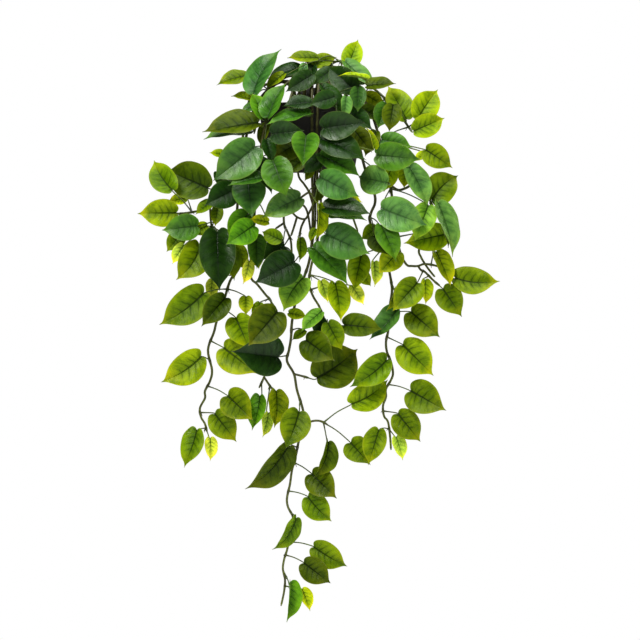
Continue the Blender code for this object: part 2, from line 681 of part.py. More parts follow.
def grow_leaves(plants, fixed):
    """Each vine's blades with their stalks' routes, from the wall outwards."""
    obstacles = list(fixed)
    for plant in plants:
        obstacles += [Obstacle(plant.name, "stem", *solid) for solid in stem_solids(plant)]
    queue = sorted(((plan.depth, number, plant, plan) for number, plant in enumerate(plants)
                    for plan in plant.leaves), key=lambda item: item[:2])
    grown = {plant.name: [] for plant in plants}
    for _, _, plant, plan in queue:
        found = find_room(plant, plan, obstacles)
        if found is None:
            raise RuntimeError(f"{plant.name} has no room for the leaf at {plan.x}, {plan.y}")
        blade, line = found
        grown[plant.name].append(found)
        obstacles.append(Obstacle(plant.name, "blade", *blade_solid(blade)))
        obstacles.append(Obstacle(plant.name, "stalk", *stalk_solid(line)))
    return grown


def new_object(name, points, faces):
    """A mesh object of a closed solid, with its faces pointing out."""
    mesh = bpy.data.meshes.new(name)
    mesh.from_pydata([tuple(point) for point in points], [], faces)
    shape = bmesh.new()
    shape.from_mesh(mesh)
    bmesh.ops.recalc_face_normals(shape, faces=shape.faces)
    shape.to_mesh(mesh)
    shape.free()
    solid = bpy.data.objects.new(name, mesh)
    bpy.context.scene.collection.objects.link(solid)
    return solid


def boolean(body, tools, operation, solver):
    """Joins the tools to the body, or cuts them from it, and removes them."""
    group = bpy.data.collections.new(body.name + "_tools")
    bpy.context.scene.collection.children.link(group)
    for tool in tools:
        bpy.context.scene.collection.objects.unlink(tool)
        group.objects.link(tool)
    modifier = body.modifiers.new("join", "BOOLEAN")
    modifier.operation = operation
    modifier.operand_type = "COLLECTION"
    modifier.collection = group
    modifier.solver = solver
    bpy.context.view_layer.update()
    result = bpy.data.meshes.new_from_object(body.evaluated_get(bpy.context.evaluated_depsgraph_get()))
    body.modifiers.clear()
    body.data = result
    for tool in tools:
        bpy.data.objects.remove(tool)
    bpy.data.collections.remove(group)


def material(name, colour, roughness):
    """A plain Principled material."""
    finish = bpy.data.materials.new(name)
    finish.use_nodes = True
    shader = finish.node_tree.nodes["Principled BSDF"]
    shader.inputs["Base Color"].default_value = (*colour, 1)
    shader.inputs["Roughness"].default_value = roughness
    return finish


def dress(solid, name, colour, roughness):
    """Gives a solid its own material and shades its round faces smooth."""
    solid.data.materials.clear()
    solid.data.materials.append(material(name, colour, roughness))
    solid.data.shade_smooth()
    solid.data.set_sharp_from_angle(angle=SHARP_ANGLE)


def pot_ring(z, scale, outset):
    """One level of the pot: a flat back on the wall and a rounded front, moved out by the outset."""
    half, depth = POT_WIDTH / 2 * scale + outset, POT_DEPTH * scale + outset
    ring = []
    for step in range(POT_STEPS + 1):
        angle = math.pi * step / POT_STEPS
        x = half * math.copysign(abs(math.cos(angle)) ** POT_SQUARENESS, math.cos(angle))
        y = -depth * math.sin(angle) ** POT_SQUARENESS
        ring.append(Vector((x, min(y, 0), z)))
    return ring


def inner_ring(z, scale, gap):
    """One level of the pot's inside, or of what fills it with a gap to the walls."""
    ring = pot_ring(z, scale, -(POT_WALL + gap))
    return [Vector((point.x, min(point.y, -(HANGER_THICKNESS + gap)), z)) for point in ring]


def loft(name, rings):
    """A closed solid through rings of equally many points, each end capped."""
    count = len(rings[0])
    points = [point for ring in rings for point in ring]
    faces = [tuple(range(count)), tuple((len(rings) - 1) * count + index for index in range(count))]
    for level in range(len(rings) - 1):
        for index in range(count):
            following = (index + 1) % count
            a, b = level * count + index, level * count + following
            faces.append((a, b, b + count, a + count))
    return new_object(name, points, faces)


def pot_scale(z):
    """How wide the pot is at a height, as a part of its width at the rim."""
    share = (z - POT_FLOOR_Z) / (POT_RIM_Z - POT_FLOOR_Z)
    return POT_TAPER + (1 - POT_TAPER) * share


def cylinder(name, middle, axis, radius, length, sides):
    """A closed cylinder about a point."""
    reach = Vector(axis) * length / 2
    return new_object(name, *tube_solid([middle - reach, middle + reach], [radius] * 2, sides))


def make_hanger():
    """The tab that rises behind the rim, with rounded upper corners."""
    half = HANGER_WIDTH / 2
    foot = POT_RIM_Z - HANGER_OVERLAP
    outline = [(-half, foot), (half, foot)]
    for side, first in ((1, 0), (-1, math.pi / 2)):
        for step in range(CORNER_STEPS + 1):
            angle = first + math.pi / 2 * step / CORNER_STEPS
            outline.append((side * (half - HANGER_CORNER) + HANGER_CORNER * math.cos(angle),
                            HANGER_TOP_Z - HANGER_CORNER + HANGER_CORNER * math.sin(angle)))
    back = [Vector((x, 0, z)) for x, z in outline]
    front = [Vector((x, -HANGER_THICKNESS, z)) for x, z in outline]
    return loft("hanger", [back, front])


def make_pot():
    """The wall pot: hollow, with a thicker rim, a hanging tab with a screw hole, and drain holes."""
    rim_foot = POT_RIM_Z - RIM_HEIGHT
    levels = [(POT_FLOOR_Z, -FOOT_BEVEL), (POT_FLOOR_Z + FOOT_BEVEL, 0), (rim_foot, 0),
              (rim_foot + RIM_BEVEL, RIM_STEP), (POT_RIM_Z - RIM_BEVEL, RIM_STEP),
              (POT_RIM_Z, RIM_STEP - RIM_BEVEL)]
    pot = loft("pot", [pot_ring(z, pot_scale(z), outset) for z, outset in levels])
    boolean(pot, [make_hanger()], "UNION", "EXACT")
    floor = POT_FLOOR_Z + POT_WALL
    hollow = loft("hollow", [inner_ring(z, pot_scale(z), 0) for z in (floor, HANGER_TOP_Z + POT_WALL)])
    screw_place = Vector((0, 0, SCREW_HOLE_Z))
    cuts = [hollow, cylinder("screw_hole", screw_place, (0, 1, 0), SCREW_HOLE_RADIUS,
                             4 * HANGER_THICKNESS, SCREW_HOLE_SIDES)]
    for x in (-DRAIN_HOLE_SPACING, 0, DRAIN_HOLE_SPACING):
        drain_place = Vector((x, -DRAIN_HOLE_SHARE * POT_DEPTH, POT_FLOOR_Z))
        cuts.append(cylinder("drain_hole", drain_place, (0, 0, 1), DRAIN_HOLE_RADIUS,
                             4 * POT_WALL, DRAIN_HOLE_SIDES))
    boolean(pot, cuts, "DIFFERENCE", "EXACT")
    dress(pot, "pot_plastic", POT_COLOUR, POT_ROUGHNESS)
    return pot


def soil_height(x, y):
    """The soil's uneven top."""
    broad = math.sin(x * 190 + 1) * math.cos(y * 230)
    fine = math.sin(x * 410 - y * 370)
    return SOIL_TOP_Z + SOIL_WAVE * (broad + 0.6 * fine)


def make_soil(plants):
    """The soil: it fills the pot to below its rim, with a plain hole for each stem."""
    floor = POT_FLOOR_Z + POT_WALL + FIT_GAP
    edge = SOIL_TOP_Z - 2 * SOIL_WAVE
    rings = [inner_ring(z, pot_scale(z), FIT_GAP) for z in (floor, edge)]
    middle = Vector((0, -HUB_DEPTH, 0))
    for share in SOIL_RINGS:
        ring = [middle + (point - middle) * share for point in rings[1]]
        rings.append([Vector((point.x, point.y, soil_height(point.x, point.y))) for point in ring])
    soil = loft("soil", rings)
    cutters = []
    reach = ROOT_DEPTH + FIT_GAP
    for plant in plants:
        x, y = hole_of(plant)
        cutters.append(cylinder("hole", Vector((x, y, SOIL_TOP_Z)), (0, 0, 1),
                                STEM_RADIUS + 2 * FIT_GAP, 2 * reach, SOIL_HOLE_SIDES))
    boolean(soil, cutters, "DIFFERENCE", "EXACT")
    dress(soil, "potting_soil", SOIL_COLOUR, SOIL_ROUGHNESS)
    return soil


def obstacle_of(solid):
    """An obstacle of an object's own mesh."""
    points = [vertex.co.copy() for vertex in solid.data.vertices]
    faces = [tuple(polygon.vertices) for polygon in solid.data.polygons]
    return Obstacle(solid.name, "holder", points, faces)


def green_of(plant):
    """A vine's green: the lower its stems hang, the yellower its leaves."""
    lowest = min(point.z for route in stem_routes(plant) for point in route)
    share = min(1, max(0, -lowest / YELLOWEST_DROP))
    return [crown + (trail - crown) * share for crown, trail in zip(CROWN_GREEN, TRAIL_GREEN)]


def make_vine(plant, leaves):
    """One leafy stem, with its branches, leaf stalks and blades grown together."""
    solids = stem_solids(plant)
    for blade, line in leaves:
        solids.append(leaf_solid(blade, line))
    stem = new_object(plant.name, *solids[0])
    boolean(stem, [new_object("piece", *solid) for solid in solids[1:]], "UNION", "MANIFOLD")
    dress(stem, plant.name + "_green", green_of(plant), LEAF_ROUGHNESS)


def main():
    """Builds the pot, the soil and every vine."""
    for item in list(bpy.context.scene.objects):
        bpy.data.objects.remove(item)
    pot = make_pot()
    soil = make_soil(VINES)
    leaves = grow_leaves(VINES, [obstacle_of(pot), obstacle_of(soil)])
    for plant in VINES:
        make_vine(plant, leaves[plant.name])


main()
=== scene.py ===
"""The looks of the potted philodendron: fine leaves, stems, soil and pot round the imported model.

The leaves find their places by the same table and rules as the solids, so each finer piece stands where
the solid that it replaces is. The pot's flat back is in the plane Y = 0 and the plant hangs towards -Y.
"""

import math
import random
from collections import namedtuple

import bmesh
import bpy
import numpy as np
from mathutils import Matrix, Vector, noise
from mathutils.bvhtree import BVHTree


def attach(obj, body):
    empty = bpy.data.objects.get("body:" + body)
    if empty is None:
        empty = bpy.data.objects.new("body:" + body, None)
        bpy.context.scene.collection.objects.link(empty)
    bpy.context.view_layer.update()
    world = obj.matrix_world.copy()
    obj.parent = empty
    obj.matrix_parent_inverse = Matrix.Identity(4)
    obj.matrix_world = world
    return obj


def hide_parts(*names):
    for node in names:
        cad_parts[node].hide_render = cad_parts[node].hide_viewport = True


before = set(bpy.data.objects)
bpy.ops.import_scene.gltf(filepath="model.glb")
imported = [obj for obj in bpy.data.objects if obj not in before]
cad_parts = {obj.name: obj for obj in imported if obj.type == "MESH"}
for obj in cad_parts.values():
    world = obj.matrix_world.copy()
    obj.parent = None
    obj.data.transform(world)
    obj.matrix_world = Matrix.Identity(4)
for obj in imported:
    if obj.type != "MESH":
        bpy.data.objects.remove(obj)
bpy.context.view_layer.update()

# Driving dimensions, in metres, and ratios of them
MM = 0.001
PLANT_HEIGHT = 0.80
POT_WIDTH = 150 * MM
POT_DEPTH = 100 * MM
POT_FLOOR_Z = -54 * MM
POT_RIM_Z = 37 * MM
POT_WALL = 3.2 * MM
POT_TAPER = 0.78
POT_SQUARENESS = 0.8
FOOT_BEVEL = 3 * MM
RIM_HEIGHT = 14 * MM
RIM_STEP = 2.4 * MM
RIM_BEVEL = 1.5 * MM
EDGE_BEVEL = 0.5 * MM
EDGE_DEGREES = 40
HANGER_WIDTH = 44 * MM
HANGER_TOP_Z = 64 * MM
HANGER_THICKNESS = 4 * MM
HANGER_CORNER = 14 * MM
HANGER_OVERLAP = 8 * MM
SCREW_HOLE_RADIUS = 3 * MM
SCREW_HOLE_Z = 52 * MM
DRAIN_HOLE_RADIUS = 4 * MM
DRAIN_HOLE_SPACING = 26 * MM
DRAIN_HOLE_SHARE = 0.42
SOIL_TOP_Z = 30 * MM
FIT_GAP = 0.3 * MM
STEM_RADIUS = 2.0 * MM
STEM_END_RADIUS = 1.4 * MM
BRANCH_RADIUS = 1.5 * MM
STALK_RADIUS = 1.0 * MM
BLADE_THICKNESS = 0.85 * MM
ROOT_DEPTH = 24 * MM
STEM_FOOT = 6 * MM
HUB_DEPTH = 50 * MM
OUTER_RING = 22 * MM
INNER_RING = 11 * MM

# The soil's uneven top: its waves, in metres and in radians a metre, and its crumbs
SOIL_WAVE = 1.1 * MM
SOIL_BROAD_WAVES = (190, 230)
SOIL_FINE_WAVES = (410, 370)
SOIL_FINE_SHARE = 0.6
SOIL_CRUMB = 1.3 * MM
CRUMBS_PER_METRE = 160

# The picture that the places of stems and leaves are read from, in its pixels, and the eye that sees it
PICTURE_SIZE = 640
PICTURE_MIDDLE = (320, 320)
PICTURE_POT_BACK = (312, 134)
PICTURE_PLANT_HEIGHT = 575
PIXEL = PLANT_HEIGHT / PICTURE_PLANT_HEIGHT
VIEW_DISTANCE = 4.0
EYE_X = (PICTURE_MIDDLE[0] - PICTURE_POT_BACK[0]) * PIXEL
EYE_Z = (PICTURE_POT_BACK[1] - PICTURE_MIDDLE[1]) * PIXEL

# The form of a leaf. Along is 0 at the leaf stalk and 1 at the tip, across is 1 at the widest edge
BLADE_ASPECT = 0.82
NARROWEST = 0.82
LARGE_OUTLINE = [(-0.065, 0.38), (0.06, 0.78), (0.33, 1.0), (0.62, 0.85), (0.84, 0.33)]
LARGE_MIDRIB = [0.30, 0.62]
SMALL_OUTLINE = [(-0.06, 0.48), (0.22, 1.0), (0.58, 0.88), (0.83, 0.32)]
SMALL_MIDRIB = [0.40]
SMALL_LEAF = 42 * MM
LEAST_LEAN = math.radians(14)
MOST_LEAN = math.radians(62)
TIP_DROOP = 0.10
LOBE_DROOP = 0.35
EDGE_WAVE = 0.018
EDGE_WAVES = 7
KNEE_BACK = 2.2 * MM
KNEE_DROP = 3.2 * MM
STALK_ARCH = 0.10
SHORT_STALK = 26 * MM

# A leaf whose tip is so many pixels above its stalk leans back, and every leaf turns its face to the light
RISING = 6
LIGHT_SIDE = Vector((0.35, 0, 0.94))

# How finely round things are divided: the stems and stalks of the solids, then everything finer
SOLID_STEM_SIDES = 5
SOLID_STALK_SIDES = 3
STEM_PARTS = 6
STEM_SIDES = 10
STALK_PARTS = 5
STALK_SIDES = 8
ROOTLET_PARTS = 3
ROOTLET_SIDES = 5
POT_STEPS = 64
CORNER_STEPS = 12
SCREW_HOLE_SIDES = 32
DRAIN_HOLE_SIDES = 24
SOIL_RINGS = 26

# How the leaves find room: the air kept round them, the steps forward (mm) and the stalks' bends (mm) tried
CLEARANCE = 0.6 * MM
WALL_AIR = 5 * MM
FORWARD_STEPS = range(0, 96, 3)
LOW_NODE_COST = 0.6
STALK_CHOICES = 5
STALK_BENDS = [(0, 0, 0), (0, 0, 10), (0, -10, 4), (0, 10, 4), (-10, 0, 4), (10, 0, 4), (0, -20, 8),
               (0, 20, 8), (-20, 0, 8), (20, 0, 8), (0, -32, 0), (0, 0, 24)]

# The fine leaf's outline, from the lobe beside the stalk to the tip, and how its ribs cross the sheet
EDGE_CURVE = [(-0.032, 0.09), (-0.058, 0.23), (-0.054, 0.40), (-0.010, 0.58), (0.07, 0.765), (0.18, 0.925),
              (0.32, 1.0), (0.46, 0.975), (0.58, 0.885), (0.68, 0.74), (0.76, 0.56), (0.83, 0.34),
              (0.885, 0.165), (0.93, 0.07), (0.965, 0.032), (1.0, 0.0)]
VEIN_LEAN = 0.24
VEIN_CURVE = 1.3
VEIN_STEP = 0.175
RIB_STEP = 0.006
LOBE_RIB = -0.28
LARGE_EDGE_PARTS, SMALL_EDGE_PARTS = 3, 2
ACROSS_STEPS = (0.0, 0.07, 0.22, 0.45, 0.70, 0.88, 1.0)
SMALL_ACROSS_STEPS = (0.0, 0.09, 0.35, 0.70, 1.0)

# The fine leaf's thickness (metres) and its relief, in parts of its length or of its half width
SHEET_HALF = 0.34 * MM
MARGIN_HALF = 0.14 * MM
MIDRIB_DEPTH = 0.75 * MM
MIDRIB_REACH = 0.10
SOFT_FOLD = 0.05
CUPPING = 0.06
QUILT = 0.006
RUFFLE, RUFFLE_WAVES, RUFFLE_SHIFTS = 0.009, 17, (2.3, 1.7)
SWELL, SWELL_WAVES, SWELL_SHIFT, SWELL_FADE = 0.014, (8, 4), 1.9, 5
HOOK_START, HOOK_REACH = 0.45, 0.3
SWAY_START, SWAY_REACH = 0.55, 0.5
KEEL_FADE = 0.75

# The least and most of each leaf's own habit: its edges' roll, its tip's hook and sway, and its phase
HABIT_LIMITS = ((-0.14, 0.10), (-0.03, 0.09), (-0.02, 0.02), (0, 2 * math.pi))

# Stems and stalks: their swellings, in parts of their radii, how far those reach, and their ends
NODE_REACH = 2.6 * MM
NODE_SWELL, NODE_DARKNESS = 0.28, 0.35
KNEE_SWELL, KNEE_PLACE = 0.30, 0.12
FOOT_SWELL, FOOT_PLACE = 0.45, 1.0
SWELL_REACH = 0.10
STALK_END, STALK_SINK = 0.10, 0.5 * MM
STALK_SLIMNESS, STALK_GROWTH = 0.72, 0.12
STALK_POINT, STALK_POINT_GROWTH = 0.25, 6
STEM_POINT = 0.5
ROOTLET_SHARE = 0.55
ROOTLET_LENGTHS = (3, 7)
ROOTLET_RADIUS, ROOTLET_END_RADIUS = 0.75 * MM, 0.3 * MM

# Leaf colours, in linear light, from the crown's dark blue-greens to the young yellow leaves. Several hold
# painted light or painted shade, as the comment above each says
SHADES = {
    # Painted shade: a dark green made darker still, for leaves that sit in the crown's shadowed hollow or
    # show a shaded half
    "deep": (0.016, 0.060, 0.005),
    "blue": (0.060, 0.185, 0.034),
    "mid": (0.062, 0.190, 0.012),
    # Painted sheen: a pale bluish green standing for the whitish sheen on glossy crown leaves
    "pale_blue": (0.125, 0.300, 0.070),
    "bright": (0.100, 0.280, 0.010),
    # Painted light and sheen: a green raised to stand for bright leaves in full light with a sheen on them
    "fresh": (0.200, 0.430, 0.040),
    "olive": (0.140, 0.235, 0.002),
    # Partly a darker olive tone, partly painted shade: olive leaves that sit in shade, and narrow dark
    # leaves along the shadowed trunk
    "deep_olive": (0.072, 0.122, 0.002),
    "lime": (0.265, 0.390, 0.003),
    "yellow": (0.500, 0.660, 0.010),
    # Painted light: a pale yellow raised so that yellow leaves that lie in shade look lit all the same
    "pale_yellow": (0.690, 0.860, 0.090),
}
SATIN_SHADES = ("deep", "blue", "mid", "pale_blue")
SHADE_SPREAD, STALK_SPREAD, WARMTH_SPREAD = 0.16, 0.2, 0.6
STALK_OLD_SHARE = 0.35
STEM_AGEING = 1.5
SOFT_VEINS = 0.55
SATIN_SLOT, YOUNG_SLOT, STEM_SLOT = 0, 1, 2
STEM_OLD = (0.088, 0.086, 0.020)
STEM_YOUNG = (0.170, 0.210, 0.030)
STALK_OLD = (0.100, 0.140, 0.028)
ROOTLET = (0.050, 0.040, 0.020)

# What a leaf's own colour is multiplied by, then the colours mixed into its margin, tip and underside
LIGHTER = (1.50, 1.34, 1.05, 1)
DARKER = (0.36, 0.46, 0.36, 1)
FRESHER = (2.3, 1.55, 0.7, 1)
VEIN_DARKNESS = (0.15, 0.19, 0.16, 1)
MARGIN_COLOUR = (0.20, 0.27, 0.06, 1)
DRY_TIP_COLOUR = (0.12, 0.12, 0.075, 1)
UNDERSIDE_COLOUR = (0.26, 0.36, 0.13, 1)
RAISED_VEIN_COLOUR = (0.36, 0.45, 0.19, 1)

# The studio. Each light has its place, the height of its target, its size, its power and its colour
FLOOR_Z = -0.73
FLOOR_REACH = (1.6, -2.4, 0.15)
GAMMA = 0.9
AMBIENT = 0.48
AMBIENT_GLOSS = 0.05
TARGET_Y = -0.08
LIGHTS = {
    "key": ((-1.1, -2.2, 1.9), -0.2, 0.9, 70, (1.0, 0.985, 0.96)),
    "fill": ((1.9, -2.4, 0.3), -0.3, 1.6, 8, (0.96, 0.98, 1.0)),
    "top": ((0.2, -0.5, 1.9), -0.1, 1.2, 26, (1.0, 1.0, 1.0)),
    "back": ((0.9, 2.4, 0.9), -0.2, 1.8, 45, (1.0, 1.0, 1.0)),
}

Leaf = namedtuple("Leaf", "x y tip_x tip_y width depth shade bow fold turn")
Vine = namedtuple("Vine", "name azimuth ring stems leaves")
Blade = namedtuple("Blade", "base along side face length half_width fold bow phase")
Habit = namedtuple("Habit", "roll hook sway phase")
Obstacle = namedtuple("Obstacle", "owner kind tree low high")


def leaf_maker(shade):
    """A function for leaves of one shade."""

    def leaf(x, y, tip_x, tip_y, width, depth, bow=0, fold=17, turn=1):
        """A leaf by where its stalk and tip are seen, its width (pixels) and its depth (mm)."""
        return Leaf(x, y, tip_x, tip_y, width, depth, shade, bow, math.radians(fold), turn)

    return leaf


def vine(name, azimuth, ring, stems, leaves):
    """A leafy stem: the side of the hub it leaves from, its routes (pixels, mm) and its leaves."""
    return Vine(name, math.radians(azimuth), ring, stems, leaves)


(deep, blue, mid, pale_blue, bright, fresh,
 olive, deep_olive, lime, yellow, pale_yellow) = map(leaf_maker, SHADES)
